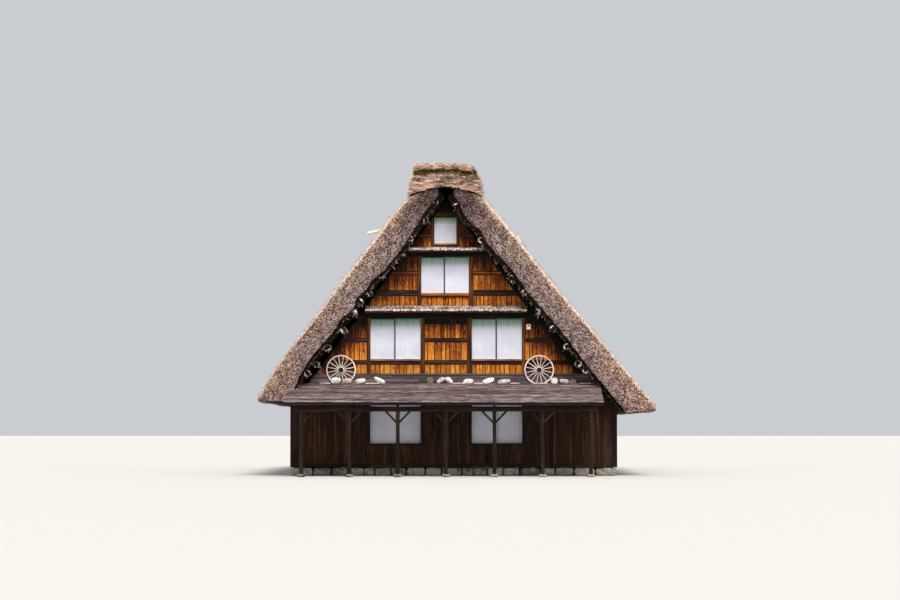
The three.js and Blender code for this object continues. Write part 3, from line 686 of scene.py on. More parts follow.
def log_end(tree):
    """The sawn end of a log: a smoke-dark heart inside a pale ring of sapwood, part of which is lost."""
    place = add(tree, "ShaderNodeUVMap", uv_map="UVMap")
    radius = add(tree, "ShaderNodeVectorMath", {0: place}, operation="LENGTH")
    uneven = weighed(tree, [(blotches(tree, 0.10, 5.0), 0.12), (blotches(tree, 0.16, 2.0), 0.50)], radius)
    rings = add(tree, "ShaderNodeValToRGB", {"Fac": uneven}, [
        (0.350, "#0A0807"), (0.385, "#2E241E"), (0.405, "#8C7C6E"), (0.435, "#E2D8CC"),
    ])
    return toned(tree, rings, 0.10, 1.2), uneven


# Each twist of a rope takes this much of its length, in metres.
TWIST = 0.02


def twisted(tree):
    """Straw rope: the twist shows as slanting bands."""
    place = add(tree, "ShaderNodeUVMap", uv_map="UVMap")
    band = add(tree, "ShaderNodeTexWave", {"Vector": place, "Scale": 1 / TWIST / 6.3, "Distortion": 2.0},
               bands_direction="DIAGONAL").outputs["Fac"]
    ramp = add(tree, "ShaderNodeValToRGB", {"Fac": band}, [(0.2, "#5E5046"), (0.8, "#E0D6CA")])
    return toned(tree, ramp, 0.15, 1.15), band


# Thatch: reed, cut square at the verges and combed down on the slopes
CUT_STRAW = finish("reed_thatch_cut_ends", cut_straw, 0.95, 0.010)
LONG_STRAW = finish("reed_thatch_combed", long_straw, 0.95, 0.02)
TUFT_STRAW = grained("reed_stalks", "#5A4A46 #98827A #DCC9BE", (0.3, 0.02), 0.95, 0.002,
                     tone_range=(0.35, 1.3))
# The underside of the thatch, which the smoke of the hearth has blackened. The same dark finish paints the
# shade on the inner half of the eave face and on the bale's covered faces.
SMOKED_AND_SHADED_STRAW = grained("smoke_blackened_thatch", "#060403 #1A120D #4A3828", (0.12, 0.05), 1.0, 0.02,
                       tone_range=(1, 1))
# The ridge bale: rice straw, newer and lighter than the reed
RIDGE_STRAW = finish("rice_straw_bale", rice_straw((0.26, 0.020), (1.1, 0.055)), 0.95, 0.015)
BALE_END = finish("rice_straw_bale_end", rice_straw((0.30, 0.045), (0.9, 0.09)), 0.95, 0.010)
GAP_STRAW = grained("rice_straw_in_shade", "#0C0805 #4A3018 #A87A3E", (0.22, 0.022), 1.0, 0.02)
TUFT_RIDGE = grained("rice_straw_stalks", "#8E6C5A #D2AE98 #FFF0E4", (0.3, 0.02), 0.95, 0.002,
                     tone_range=(0.22, 1.6))
TUFT_MOSS = grained("mossy_straw_stalks", "#5A3C18 #A88838 #F0E27C", (0.3, 0.02), 0.95, 0.002,
                    tone_range=(0.02, 1.3))
ROPE = finish("straw_rope", twisted, 0.95, 0.004)
# Timber that cooking smoke has darkened, hewn with an adze. On the rafters and logs under the thatch its dark
# also paints their shade, and it paints the shadow strips along the rails and under the window sills.
SMOKED_AND_SHADED_TIMBER = grained("smoked_hewn_timber", "#0E0805 #23140D #45291A", (1.2, 0.05), 0.7, 0.004)
POST_TIMBER = grained("smoked_post_timber", "#1E0F08 #48270F #8A5226", (0.9, 0.035), 0.7, 0.004)
RAIL_TIMBER = grained("reddened_rail_timber", "#1E0E06 #52280C #A0591A", (0.6, 0.03), 0.7, 0.004)
GREYED_TIMBER = grained("greyed_rail_timber", "#120A07 #2C1C14 #58402E", (0.6, 0.03), 0.8, 0.004)
# Near-black timber: painted shade under the pents and beside the thatch's verges.
PAINTED_SHADE_TIMBER = grained("sooted_timber", "#070605 #12100C #2A251F", (0.9, 0.04), 0.85, 0.004)
WORN_SILL = grained("worn_sill_timber", "#38261F #765548 #AC8E80", (0.6, 0.02), 0.75, 0.002)
SILL_TIMBER = grained("reddened_sill_timber", "#3A1C0C #86491A #C98638", (0.6, 0.02), 0.65, 0.002)
BACKING = grained("smoked_boards_behind", "#0E0806 #1E120C #2C1B12", (0.05, 0.5, 0.9), 0.9, 0.003)
BOARDS = finish("sun_reddened_cedar_boards", sunlit_boards, 0.7, 0.006)
LOG_END = finish("sawn_log_end", log_end, 0.85, 0.004)
PALE_POLE = grained("peeled_pole", "#0C0907 #342A20 #8E7E64", (0.10, 0.04), 0.9, 0.008, contrast=(0.44, 0.62))
# Unpainted timber whose dark colour paints the shade of the eaves
PLAIN_TIMBER = grained("weathered_cedar_timber", "#0D0907 #20160F #41301F", (1.0, 0.04), 0.8, 0.004)
PLAIN_BOARDS = grained("weathered_cedar_boards", "#140C08 #2D1C11 #563820", (0.9, 0.035), 0.8, 0.005)
FLOOR_BOARDS = grained("floor_boards", "#33241A #5C4433 #7A6048", (0.9, 0.06, 0.06), 0.75, 0.003)
FRAME_TIMBER = grained("smoked_frame_timber", "#1A0F0A #35211A #553A28", (0.06, 0.7, 0.7), 0.8, 0.003)
# Boards that rain and sun have turned grey-purple
GREY_PLANKS = grained("weathered_grey_planks", "#2C2123 #766162 #C8B3B0", (0.30, 0.020), 0.85, 0.005,
                      contrast=(0.38, 0.62), tone_range=(0.50, 1.25))
# Dark grey underside: painted shade under the lean-to's planks, at their laps and along the eave.
GREY_UNDER_SHADE = grained("weathered_grey_underside", "#100C0C #1E1919 #332C2C", (0.9, 0.06, 0.06), 0.9, 0.003)
KICK_BOARD = grained("weathered_dark_boards", "#231D20 #52474A #847679", (1.2, 0.02), 0.8, 0.004)
SHINGLES = grained("split_shingles_bleached", "#4A3A36 #C6AFA8 #FFF8F4", (0.07, 0.018), 0.9, 0.005,
                   contrast=(0.39, 0.61), tone_range=(0.36, 1.3))
PALE_WOOD = grained("bleached_bare_wood", "#A8968E #E6D6CE #FFFAF6", (0.3, 0.02), 0.85, 0.003,
                    tone_range=(0.8, 1.2))
WHEEL_IRON = finish("rusted_iron", stone("#0E0A09", "#2E201A", 0.03), 0.8, 0.002)
# Sliding windows: the sheet, the bars before and behind it, the painted shadow where two leaves meet, the
# head rail
PAPER = finish("shoji_paper", paper, 0.9, 0.0005)
LATTICE = grained("shoji_lattice_whitewood", "#C9C4C4 #E6E2E3 #F8F5F5", (0.5, 0.01), 0.7, 0.001,
                  tone_range=(0.9, 1.05))
PAPER_BAR = grained("shoji_bar_behind_paper", "#C2C2CE #D6D6E0 #E6E6EE", (0.5, 0.01), 0.8, 0.0005,
                    tone_range=(0.95, 1.0))
LEAF_GAP_SHADOW = grained("shoji_stile_greyed", "#3C3640 #544E5A #706A76", (0.5, 0.01), 0.7, 0.001)
LEAF_HEAD = grained("shoji_head_rail_in_shade", "#2E4A34 #4F7456 #769A78", (0.5, 0.01), 0.8, 0.0005)
WHITE_STONE = finish("river_stone_white", stone("#B4ABA6", "#FFFDFC", 0.11), 0.75, 0.008)
PINK_STONE = finish("river_stone_pink", stone("#A08A82", "#F4E0D6", 0.08), 0.75, 0.01)
BROWN_STONE = finish("river_stone_brown", stone("#5E4E46", "#9A8578", 0.06), 0.8, 0.004)
FOOTING_STONE = finish("fieldstone_footing", stone("#55504A", "#9B968C", 0.12), 0.9, 0.008)
CREAM_PLASTIC = finish("cream_moulded_plastic", stone("#E6D8C0", "#F8EDDA", 0.15), 0.45, 0.0003)
METER_WINDOW = finish("meter_window_grey", stone("#6A5444", "#8C7460", 0.05), 0.25, 0.0002)

# What the kinds of a piece's faces stand for, in the order of its finishes
THATCH_FINISHES = [CUT_STRAW, LONG_STRAW, SMOKED_AND_SHADED_STRAW]
CUT, COMBED, SMOKED_AND_SHADED = range(3)
BALE_STRAW, BALE_HIDDEN, BALE_CUT = range(3)
LOG_FINISHES = [SMOKED_AND_SHADED_TIMBER, LOG_END, PALE_POLE]
LOG_CUT, POLE = 1, 2
GABLE_FINISHES = [SMOKED_AND_SHADED_TIMBER, POST_TIMBER, RAIL_TIMBER, GREYED_TIMBER, PAINTED_SHADE_TIMBER]
RAIL_SHADOW, POST, RAIL, GREYED, IN_PAINTED_SHADE = range(5)
SILL_FINISHES = [SILL_TIMBER, SMOKED_AND_SHADED_TIMBER, WORN_SILL]
SILL_RED, SILL_SHADE, SILL_WORN = range(3)
LEAF_FINISHES = [LATTICE, PAPER_BAR, LEAF_GAP_SHADOW, LEAF_HEAD]
LEAF_WOOD, LEAF_BAR, LEAF_SHADOW, LEAF_TOP = range(4)
PLANK_FINISHES = [GREY_PLANKS, GREY_UNDER_SHADE]
SHADED_UNDERSIDE = 1
WHEEL_FINISHES = [PALE_WOOD, WHEEL_IRON]
WHEEL_WOOD, WHEEL_METAL = range(2)
STONE_FINISHES = [WHITE_STONE, PINK_STONE, BROWN_STONE]
WHITE, PINK, BROWN = range(3)
BOX_FINISHES = [CREAM_PLASTIC, METER_WINDOW]
BOX_WINDOW = 1


# Thatch slopes

VERGE_ROUND = 0.24
INNER_ROUND = 0.07
SLOPE_CELLS = (210, 18)
# Distances in from the verge at which the grid has a line, close together where it is rounded
VERGE_STEPS = [0, 0.03, 0.06, 0.10, 0.14, 0.19, 0.24, 0.31, 0.40, 0.5]
SLOPE_Y_CELL = 0.18
# How far the thatch swells beyond the straight slope at these heights: out of the roof, and at the verges
# also into the house, in metres
OUTER_SWELL = {
    -1: [(2.8, 0.0), (3.3, 0.08), (3.9, 0.12), (5.5, 0.10), (7.0, 0.11), (9.4, 0.11), (9.85, 0.04)],
    1: [(2.8, 0.0), (6.0, -0.03), (7.5, -0.04), (8.2, 0.0), (9.9, 0.0)],
}
INNER_SWELL = {
    -1: [
        (3.0, 0.0), (3.25, 0.0), (3.4, -0.08), (3.75, -0.15), (4.1, -0.18), (4.45, -0.14), (4.8, -0.10),
        (5.16, -0.07), (5.4, -0.14), (5.55, -0.12), (5.87, 0.0), (6.0, -0.03), (6.22, -0.13), (6.57, -0.04),
        (6.92, -0.06), (7.28, 0.06), (7.63, 0.06), (8.0, 0.10), (8.46, 0.06), (8.9, 0.03), (9.3, -0.02),
        (9.7, 0.0),
    ],
    1: [
        (3.0, 0.13), (3.8, 0.16), (4.6, 0.12), (5.0, 0.10), (5.5, 0.11), (6.4, 0.14), (7.0, 0.12),
        (7.28, 0.08), (7.46, 0.075), (7.63, 0.10), (7.81, 0.115), (8.0, 0.17), (8.4, 0.16), (8.6, 0.10),
        (8.75, 0.06), (8.9, 0.10), (9.04, 0.17), (9.2, 0.17), (9.4, 0.14), (9.6, 0.06), (9.9, 0.0),
    ],
}
# A tuft that stands out of the right slope near the front verge
BUMP_TUFT = {"side": 1, "z": 8.40, "reach": 0.18, "out": 0.10}
# The sides of a shell, in the order that shell() numbers them; the two ends follow.
EAVE_FACE, INNER_FACE, OUTER_FACE = 1, 2, 3


def face_uv(smooth, quads, faces):
    """A UV in metres for each corner: u runs along the straw and v across it, on each side of a shell."""
    corners = smooth[quads]
    axis = (faces // 2)[:, None]
    u = np.where(axis == 0, corners[..., 1], corners[..., 0])
    v = np.where(axis == 2, corners[..., 1], corners[..., 2])
    return np.stack([u, v], -1)


def swell(table, z):
    """The table's amount at each height."""
    heights, amounts = np.array(table).T
    return np.interp(z, heights, amounts)


def y_lines(half, steps, cell):
    """Places along the ridge from verge to verge: the given steps in from each, and even cells between."""
    edge = half - np.array(steps)
    count = int(round(2 * edge[-1] / cell))
    return np.concatenate([-edge, np.linspace(-edge[-1], edge[-1], count + 1)[1:-1], edge[::-1]])


# Under the bale the two slopes stop short of each other and leave a dark mouth this far to each side.
MOUTH_HALF = 0.27
MOUTH_DEPTH = 0.5


def slope_paths(side):
    """The head of a slope, from the ridge to the outer face under the bale, and its foot at the eave."""
    outer, inner = SLOPES[side]["outer"], SLOPES[side]["inner"]
    eave_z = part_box(SLOPES[side]["node"])[0].z
    head = [
        (side * MOUTH_HALF, 9.95), (side * MOUTH_HALF, 10.22), (side * 0.70, 10.15),
        (outer.x(ARCH_FOOT_Z), ARCH_FOOT_Z),
    ]
    corner = outer.x(eave_z)
    flat = (corner - side * EAVE_ROUND, eave_z)
    round_x = corner - side * EAVE_ROUND / math.hypot(1, outer.slope)
    last = (round_x, outer.z(round_x))
    share = np.linspace(0, 1, 9)[1:-1, None]
    turn = np.array((corner, eave_z))
    curve = (1 - share) ** 2 * flat + 2 * share * (1 - share) * turn + share**2 * np.array(last)
    return head, [(inner.x(eave_z), eave_z), flat, *curve, last]


def add_thatch(side):
    """One slope: smooth and combed outside, swollen and uneven at its cut verges, ragged underneath."""
    facts = SLOPES[side]
    outer = facts["outer"]
    head, foot = slope_paths(side)
    length = math.dist(head[-1], foot[-1])
    ys = y_lines(VERGE_Y, VERGE_STEPS, SLOPE_Y_CELL)
    local, quads, faces = shell_on((length, THATCH), SLOPE_CELLS, ys)
    radius = np.where(local[:, 1] > THATCH / 2, VERGE_ROUND, INNER_ROUND)
    smooth, way = rounded(local, (length, THATCH, 2 * VERGE_Y), radius)
    share, thick = smooth[:, :1] / length, smooth[:, 1] / THATCH
    heads = on_path(head, thick)
    # Away from the verges the two slopes meet under the bale.
    closing = np.clip((VERGE_Y - MOUTH_DEPTH - np.abs(smooth[:, 2] - VERGE_Y)) / MOUTH_DEPTH + 1, 0, 1)
    heads[:, 0] -= side * MOUTH_HALF * closing * np.clip(1 - thick * 6, 0, 1)
    flat = (1 - share) * heads + share * on_path(foot, thick)
    points = np.stack([flat[:, 0], smooth[:, 2] - VERGE_Y, flat[:, 1]], -1)
    down, out = outer.down(), outer.out()
    normal = np.stack([
        way[:, 0] * down[0] + way[:, 1] * out[0], way[:, 2], way[:, 0] * down[1] + way[:, 1] * out[1],
    ], -1)
    seed = 10 + side
    verge = np.abs(way[:, 2])
    rough = 0.020 * noise(points, 0.30, seed) + 0.008 * noise(points, 0.12, seed + 2)
    rough += 0.008 * noise(points, 0.06, seed + 3)
    combed = np.stack([smooth[:, 0] / 0.9, smooth[:, 2] / 0.16, smooth[:, 1]], -1)
    lines = 0.035 * noise(points, 1.6, seed + 4) + 0.026 * noise(combed, 1.0, seed + 5)
    lines += 0.012 * noise(points, 0.2, seed + 8)
    under = np.clip(-way[:, 1], 0, 1)
    ragged = 0.045 * noise(points, 0.17, seed + 6) + 0.03 * noise(points, 0.07, seed + 7)
    near_verge = np.clip((np.abs(points[:, 1]) - VERGE_Y + 0.5) / 0.4, 0, 1)
    lift = (verge * rough + (1 - verge) * lines) * (1 - under) + under * near_verge * ragged
    if side == BUMP_TUFT["side"]:
        at = outer.x(BUMP_TUFT["z"]), BUMP_TUFT["z"]
        far = np.hypot(points[:, 0] - at[0], points[:, 2] - at[1]) / BUMP_TUFT["reach"]
        near_front = np.clip((-points[:, 1] - VERGE_Y + 0.8) / 0.5, 0, 1)
        lift += BUMP_TUFT["out"] * np.exp(-far**2) * near_front * np.clip(way[:, 1], 0, 1)
    points += normal * lift[:, None]
    at_verge = np.clip((np.abs(points[:, 1]) - VERGE_Y + 0.9) / 0.4, 0, 1)
    swollen = thick * swell(OUTER_SWELL[side], flat[:, 1])
    swollen -= (1 - thick) * at_verge * swell(INNER_SWELL[side], flat[:, 1])
    points[:, ::2] += swollen[:, None] * out
    # The level is 1 along the verge's upper edge, where a highlight is painted.
    level = np.clip((smooth[:, 1] - THATCH + 0.26) / 0.20, 0, 1)
    level *= np.clip((np.abs(points[:, 1]) - VERGE_Y + 0.5) / 0.35, 0, 1)
    # Painted shade: the straw is darker under the bale, but not its weathered outer part. It is also painted
    # paler at the eaves.
    shade = np.clip((flat[:, 1] - 8.2) / 1.5, 0, 1) * np.clip((0.70 - thick) / 0.16, 0, 1)
    shade -= np.clip((4.4 - flat[:, 1]) / 1.0, 0, 1)
    batch = Batch()
    points = np.clip(points, *HOUSE_BOX)
    # The underside is smoke-blackened; the inner half of the eave face is painted dark with the shade under
    # the eave.
    inner_half = thick[quads].mean(1) < 0.55
    where = [faces > OUTER_FACE, faces == OUTER_FACE, (faces == EAVE_FACE) & ~inner_half]
    kinds = np.select(where, [CUT, COMBED, CUT], SMOKED_AND_SHADED)
    batch.add(points, [quads], [face_uv(smooth, quads, faces)], [kinds], level=level, tone=0.5, edge=thick,
              shade=shade)
    return piece(f"{facts['node']}_thatch", batch, THATCH_FINISHES, [facts["node"]], smooth=True)


slopes = {side: add_thatch(side) for side in SLOPES}


# Ridge bale: the cap with its arched foot, the dark neck and the mat on top

CAP_FLANK = [(1.285, 9.93), (1.25, 10.14), (1.225, 10.34), (1.205, 10.52), (1.165, 10.66)]
CAP_ARCH_POWER = 1.85
CAP_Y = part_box("ridge_cap")[1].y
RIDGE_Y_STEPS = [0, 0.02, 0.045, 0.08, 0.13, 0.2]
# Straw ropes that tie the bale at each end, across from the ridge
TIE_X = (-0.45, 0.375)


def bale(batch, half_y, cells, section, radius, size, seed, rough, level, covered, y_cell=0.20,
         end_kind=BALE_STRAW):
    """A straw body along the ridge. section turns shares across and up into x and z. The faces in covered
    lie against other straw."""
    ys = y_lines(half_y, RIDGE_Y_STEPS, y_cell)
    local, quads, faces = shell_on(size, cells, ys)
    smooth, way = rounded(local, (*size, 2 * half_y),
                          np.where(local[:, 1] < size[1] / 2, 0.3 * radius, radius))
    across, up = smooth[:, 0] / size[0] * 2 - 1, smooth[:, 1] / size[1]
    x, z = section(across, up)
    points = np.stack([x, smooth[:, 2] - half_y, z], -1)
    normal = np.stack([way[:, 0], way[:, 2], way[:, 1]], -1)
    drawn = np.stack([smooth[:, 0] / 0.8, smooth[:, 1] / 0.10, smooth[:, 2] / 0.12], -1)
    lift = rough * (0.9 * noise(drawn, 1.0, seed) + 0.5 * noise(points, 0.35, seed + 1)
                    + 0.8 * noise(points, 0.08, seed + 2))
    points = np.clip(points + normal * lift[:, None], *HOUSE_BOX)
    kinds = np.select([np.isin(faces, covered), faces > OUTER_FACE], [BALE_HIDDEN, end_kind], BALE_STRAW)
    batch.add(points, [quads], [face_uv(smooth, quads, faces)], [kinds], level=level(across, up), tone=0.3)


def cap_section(across, up):
    """The lowest body of the bale: flanks that lean in, an arched foot and a slightly round top."""
    flank = np.array(CAP_FLANK)
    half = np.interp(up, np.linspace(0, 1, len(flank)), flank[:, 0])
    x = across * half - 0.02
    foot = ARCH_FOOT_Z + (ARCH_TOP_Z - ARCH_FOOT_Z) * (1 - np.abs(across) ** CAP_ARCH_POWER)
    top = 10.60 + 0.12 * (1 - across**2)
    return x, foot + (top - foot) * up


def neck_section(across, up):
    """The dark layer between the cap and the mat."""
    low = 10.52 + 0.12 * (1 - across**2)
    high = 10.84 + 0.10 * (1 - across**2)
    return across * 1.08 - 0.03, low + (high - low) * up


def mat_section(across, up):
    """The loose mat on top, a little lower on the right."""
    low = 10.79 + 0.10 * (1 - across**2) - 0.03 * across
    high = 11.02 + 0.06 * (1 - across**4) - 0.05 * across
    return across * (1.04 - 0.03 * up) - 0.07, low + (high - low) * up


def add_ridge():
    """Three bodies of straw, one on the other, and the ropes that tie the lowest at its ends."""
    cap, neck, mat = Batch(), Batch(), Batch()
    under_and_top = (INNER_FACE, OUTER_FACE)
    bale(cap, CAP_Y, (76, 26), cap_section, 0.09, (2.5, 0.62), 31, 0.034, lambda across, up: 0.75 * up,
         under_and_top, end_kind=BALE_CUT)
    piece("ridge_cap_straw", cap, [RIDGE_STRAW, SMOKED_AND_SHADED_STRAW, BALE_END], ["ridge_cap"],
          smooth=True)
    bale(neck, VERGE_Y - 0.03, (40, 6), neck_section, 0.05, (2.1, 0.3), 41, 0.05, lambda across, up: 0 * up,
         under_and_top, y_cell=0.3)
    piece("ridge_neck_straw", neck, [GAP_STRAW, SMOKED_AND_SHADED_STRAW], smooth=True)
    bale(mat, VERGE_Y + 0.02, (60, 10), mat_section, 0.08, (2.2, 0.26), 51, 0.055,
         lambda across, up: 0.62 + 0.3 * (up > 0.9), (INNER_FACE,), end_kind=BALE_CUT)
    piece("ridge_mat_straw", mat, [RIDGE_STRAW, GAP_STRAW, BALE_END], ["ridge_cap_top"],
          smooth=True)
    ties = Batch()
    for end in ENDS.values():
        for x in TIE_X:
            y = end * (CAP_Y + 0.006)
            log(ties, (x, y, 10.16), (x + 0.01, y, 10.62), 0.012, 4, np.linspace(0, 1, 7), sides=6, rough=0.3,
                tone=0.1)
    piece("ridge_ties", ties, [ROPE], smooth=True)


add_ridge()


# Roof timbers: log purlins with their lashings, rafters and the poles along the verges

LOG_OVERHANG = 0.12
# Logs below the first height end further in and have no rope. The right slope's other logs below the second
# are bare.
HIDDEN_LOG_Z = 3.5
BARE_LOG_Z = 4.7
# How far each log ends beyond or short of its place: more of them are hidden on the left.
LOG_STRAY = {-1: (-0.22, 0.04), 1: (-0.12, 0.06)}
RAFTER = 0.25
RAFTER_PAIRS = 9
RAFTER_DROP = 0.185
RAFTERS_Y = 7.96
LOG_SHARES = [
    0, 0.0006, 0.006, 0.014, 0.024, 0.036, 0.05, 0.2, 0.35, 0.5, 0.65, 0.8, 0.95, 0.964, 0.976, 0.986, 0.994,
    0.9994, 1,
]
# The ends of the logs bend in with the thatch, outside the wall.
LOG_BEND = np.clip((0.05 - np.minimum(LOG_SHARES, 1 - np.array(LOG_SHARES))) / 0.014, 0, 1)
VERGE_POLE_Y = 8.72


def add_logs(side):
    """The log purlins of one slope, its rafters, the poles along its verges and their ropes."""
    facts = SLOPES[side]
    inner = facts["inner"]
    rng = np.random.default_rng(60 + side)
    inward = np.array((-inner.out()[0], 0, -inner.out()[1]))
    logs, ropes = Batch(), Batch()
    for n, (x, z) in enumerate(LOG_ENDS[side]):
        radius = 0.092 + 0.022 * n / len(LOG_ENDS[side]) + rng.uniform(-0.008, 0.008)
        line = inner.inward(radius + 0.004)
        sunk = (line.z(x) - z) / math.hypot(1, line.slope) * inward
        tips = VERGE_Y - LOG_OVERHANG + rng.uniform(*LOG_STRAY[side], 2)
        if n == 0:
            tips = np.array((VERGE_Y + 0.02, VERGE_Y + 0.02))
        if z < HIDDEN_LOG_Z:
            tips -= 0.5
        bare = n == 0 or (side > 0 and HIDDEN_LOG_Z < z < BARE_LOG_Z)
        middle_x, middle_z = x - sunk[0], z - sunk[2]
        log(logs, (middle_x, -tips[0], middle_z), (middle_x, tips[1], middle_z), radius, n, LOG_SHARES,
            bend=LOG_BEND[:, None] * sunk, cap_kind=LOG_CUT, tone=1.0 if bare else rng.uniform(0.3, 0.95))
        if z > HIDDEN_LOG_Z:
            for end in ENDS.values():
                lash(ropes, (x, z), radius, end, bare, rng)
    for y in np.linspace(-1, 1, RAFTER_PAIRS) * (RAFTERS_Y - RAFTER / 2):
        line = inner.inward(RAFTER_DROP + RAFTER / 2)
        top = (APEX_X + side * 0.12, y, line.z(APEX_X + side * 0.12))
        foot_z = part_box(facts["frame"])[0].z + 0.12
        bar(logs, top, (line.x(foot_z), y, foot_z), RAFTER, RAFTER, (0, 1, 0), chamfer=0.02,
            tone=rng.uniform())
    for end in ENDS.values():
        line = inner.inward(0.055)
        z0, z1 = 9.6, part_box(facts["node"])[0].z + 0.1
        shares = np.linspace(0, 1, 28)
        bend = swell(INNER_SWELL[side], z0 + shares * (z1 - z0))[:, None] * inward
        log(logs, (line.x(z0), end * VERGE_POLE_Y, z0), (line.x(z1), end * VERGE_POLE_Y, z1), 0.040, 7,
            shares, bend=bend, kind=POLE, rough=0.6, sides=9, tone=0.6)
        for z in rng.uniform(z1, z0, 44):
            spot = np.array((line.x(z), 0, z)) + swell(INNER_SWELL[side], z) * inward
            tatters(ropes, spot, 0.035, end, rng.integers(1, 6), 1, rng.uniform(0, 0.7), rng)
    piece(f"{facts['frame']}_timbers", logs, LOG_FINISHES, [facts["frame"]])
    piece(f"{facts['frame']}_lashings", ropes, [ROPE], smooth=True)


def tatters(batch, spot, reach, end, count, knots, tone, rng):
    """Knots and loose ends of straw rope about a spot of the verge pole. The first of them are the knots."""
    for n in range(count):
        knot = n < knots
        turn = rng.uniform(-3.6, 0.4)
        from_spot = reach * rng.uniform(0.5, 1.2) * np.array((math.cos(turn), 0, math.sin(turn)))
        foot = np.array((spot[0], end * (VERGE_POLE_Y + rng.uniform(-0.1, 0.08)), spot[2])) + from_spot
        drop = np.array((rng.uniform(-0.10, 0.10), end * rng.uniform(0, 0.06), rng.uniform(-0.13, 0.05)))
        thick = rng.uniform(0.020, 0.028) if knot else rng.uniform(0.006, 0.014)
        log(batch, foot, foot + drop * (0.6 if knot else 1), thick, 3, (0, 0.3, 0.6, 1), sides=5, rough=0.5,
            tone=tone if knot else rng.uniform())


def lash(batch, at, radius, end, bare, rng):
    """Straw rope round a log where it meets the verge pole, and its loose ends. A bare end has little."""
    x, z = at
    start = VERGE_POLE_Y - 0.14 + rng.uniform(-0.03, 0.03)
    for turn in range(3 if bare else rng.integers(0, 3)):
        y = end * (start - 0.026 * turn)
        thick = 0.013
        hoop(batch, (x, y, z), (0, 1, rng.uniform(-0.3, 0.3)), radius + 0.006, circle(thick, 5), 12,
             tone=rng.uniform())
    tatters(batch, (x, 0, z), radius, end, 3 if bare else rng.integers(8, 13), 0 if bare else 2, 1.0, rng)


for side in SLOPES:
    add_logs(side)


def add_roof_pole():
    """The pale pole end in the left slope."""
    low, high = corners("roof_pole")
    batch = Batch()
    start = np.array((low[0] - RIDGE_X, (low[1] + high[1]) / 2, low[2] + 0.065))
    end = start + np.array((0.62, 0, 0.12))
    log(batch, start, end, 0.062, 5, (0, 0.02, 0.2, 0.4, 0.6, 0.8, 1), rough=0.08, tone=0.9)
    piece("roof_pole_wood", batch, [PALE_WOOD], ["roof_pole"])


add_roof_pole()


# Boards and sticks on a wall. place turns a point's distance along the wall, how far out it lies and
# its height into x, y and z.

def on_gable(end):
    def place(along, out, z):
        return np.stack(np.broadcast_arrays(along, end * np.asarray(out, float), z), -1).astype(float)

    return place


def on_side(side):
    def place(along, out, z):
        return np.stack(np.broadcast_arrays(side * np.asarray(out, float), along, z), -1).astype(float)

    return place


def area_and_girth(outline):
    """The area of an outline and its length all round."""
    following = np.roll(outline, -1, 0)
    area = 0.5 * abs((outline[:, 0] * following[:, 1] - following[:, 0] * outline[:, 1]).sum())
    return area, np.linalg.norm(following - outline, axis=1).sum()


def inset(outline, distance):
    """A convex outline, anticlockwise, drawn in by a distance."""
    edges = np.roll(outline, -1, 0) - outline
    normals = np.stack([-edges[:, 1], edges[:, 0]], 1) / np.linalg.norm(edges, axis=1, keepdims=True)
    reach = (normals * outline).sum(1) + distance
    before, reach_before = np.roll(normals, 1, 0), np.roll(reach, 1)
    det = before[:, 0] * normals[:, 1] - before[:, 1] * normals[:, 0]
    return np.stack([
        (reach_before * normals[:, 1] - reach * before[:, 1]) / det,
        (before[:, 0] * reach - normals[:, 0] * reach_before) / det,
    ], -1)


def kept(outline, normal, reach):
    """The part of a convex outline where normal . point is at most reach."""
    normal = np.asarray(normal, float)
    found = []
    for here, there in zip(outline, np.roll(outline, -1, 0)):
        a, b = here @ normal - reach, there @ normal - reach
        if a <= 0:
            found.append(here)
        if a * b < 0:
            found.append(here + (there - here) * a / (a - b))
    return np.array(found)


def clean(outline):
    """The outline without points that lie closer than a millimetre to the next."""
    if len(outline) < 3:
        return outline
    return outline[np.linalg.norm(np.roll(outline, -1, 0) - outline, axis=1) > 0.001]


def panel(batch, outline, back, face, place, chamfer=0.003, level=None, lying=False, **more):
    """A flat board of any convex outline, given along and up the wall, from back out to its face. Its grain
    runs up the wall, or along it if lying."""
    area, girth = area_and_girth(outline)
    if len(outline) < 3 or area < 0.002:
        return
    soft = min(0.026, 0.8 * area / girth)
    rings = [
        (outline, back), (outline, face - chamfer), (inset(outline, min(chamfer, soft / 2)), face),
        (inset(outline, soft), face),
    ]
    points = [place(ring[:, 0], out, ring[:, 1]) for ring, out in rings]
    marks = {"edge": np.array([1.0, 1.0, 1.0, 0.0])}
    if level:
        marks["level"] = np.concatenate([level(*ring.T) for ring, _ in rings])
    axes = (place(0, 0, 1), place(1, 0, 0))
    loft(batch, points, cap_axes=axes[::-1] if lying else axes, **marks, **more)


def fill_with_boards(batch, region, back, face, place, rng, widths=(0.08, 0.25), level=None, gap=0.006,
                     kind=0):
    """Upright boards side by side over a convex region of the wall, cut to its outline."""
    region = clean(np.asarray(region, float))
    if len(region) < 3:
        return
    at, last = region[:, 0].min(), region[:, 0].max()
    while at < last - 0.02:
        width = rng.uniform(*widths)
        if last - at - width < 0.09:
            width = last - at
        board = kept(region, (-1, 0), -(at + gap / 2))
        if len(board) > 2:
            board = clean(kept(board, (1, 0), at + width - gap / 2))
        if len(board) > 2:
            panel(batch, board, back, face + rng.uniform(-0.005, 0.005), place, level=level, kind=kind,
                  tone=rng.uniform())
        at += width


def stick(batch, place, start, end, width, back, face, **more):
    """A bar that lies on a wall between two points along and up it."""
    middle_out = (back + face) / 2
    a, b = place(start[0], middle_out, start[1]), place(end[0], middle_out, end[1])
    outward = place(0, 1, 0) - place(0, 0, 0)
    bar(batch, a, b, width, face - back, np.cross(b - a, outward), **more)


# Gables

RAKE_FOOT = {-1: 0.03, 1: 0.31}
GABLE_EDGE = {side: facts["inner"].inward(LOG + 0.0006) for side, facts in SLOPES.items()}
GABLE_APEX_Z = 9.864
GABLE_FOOT_Z = 3.63


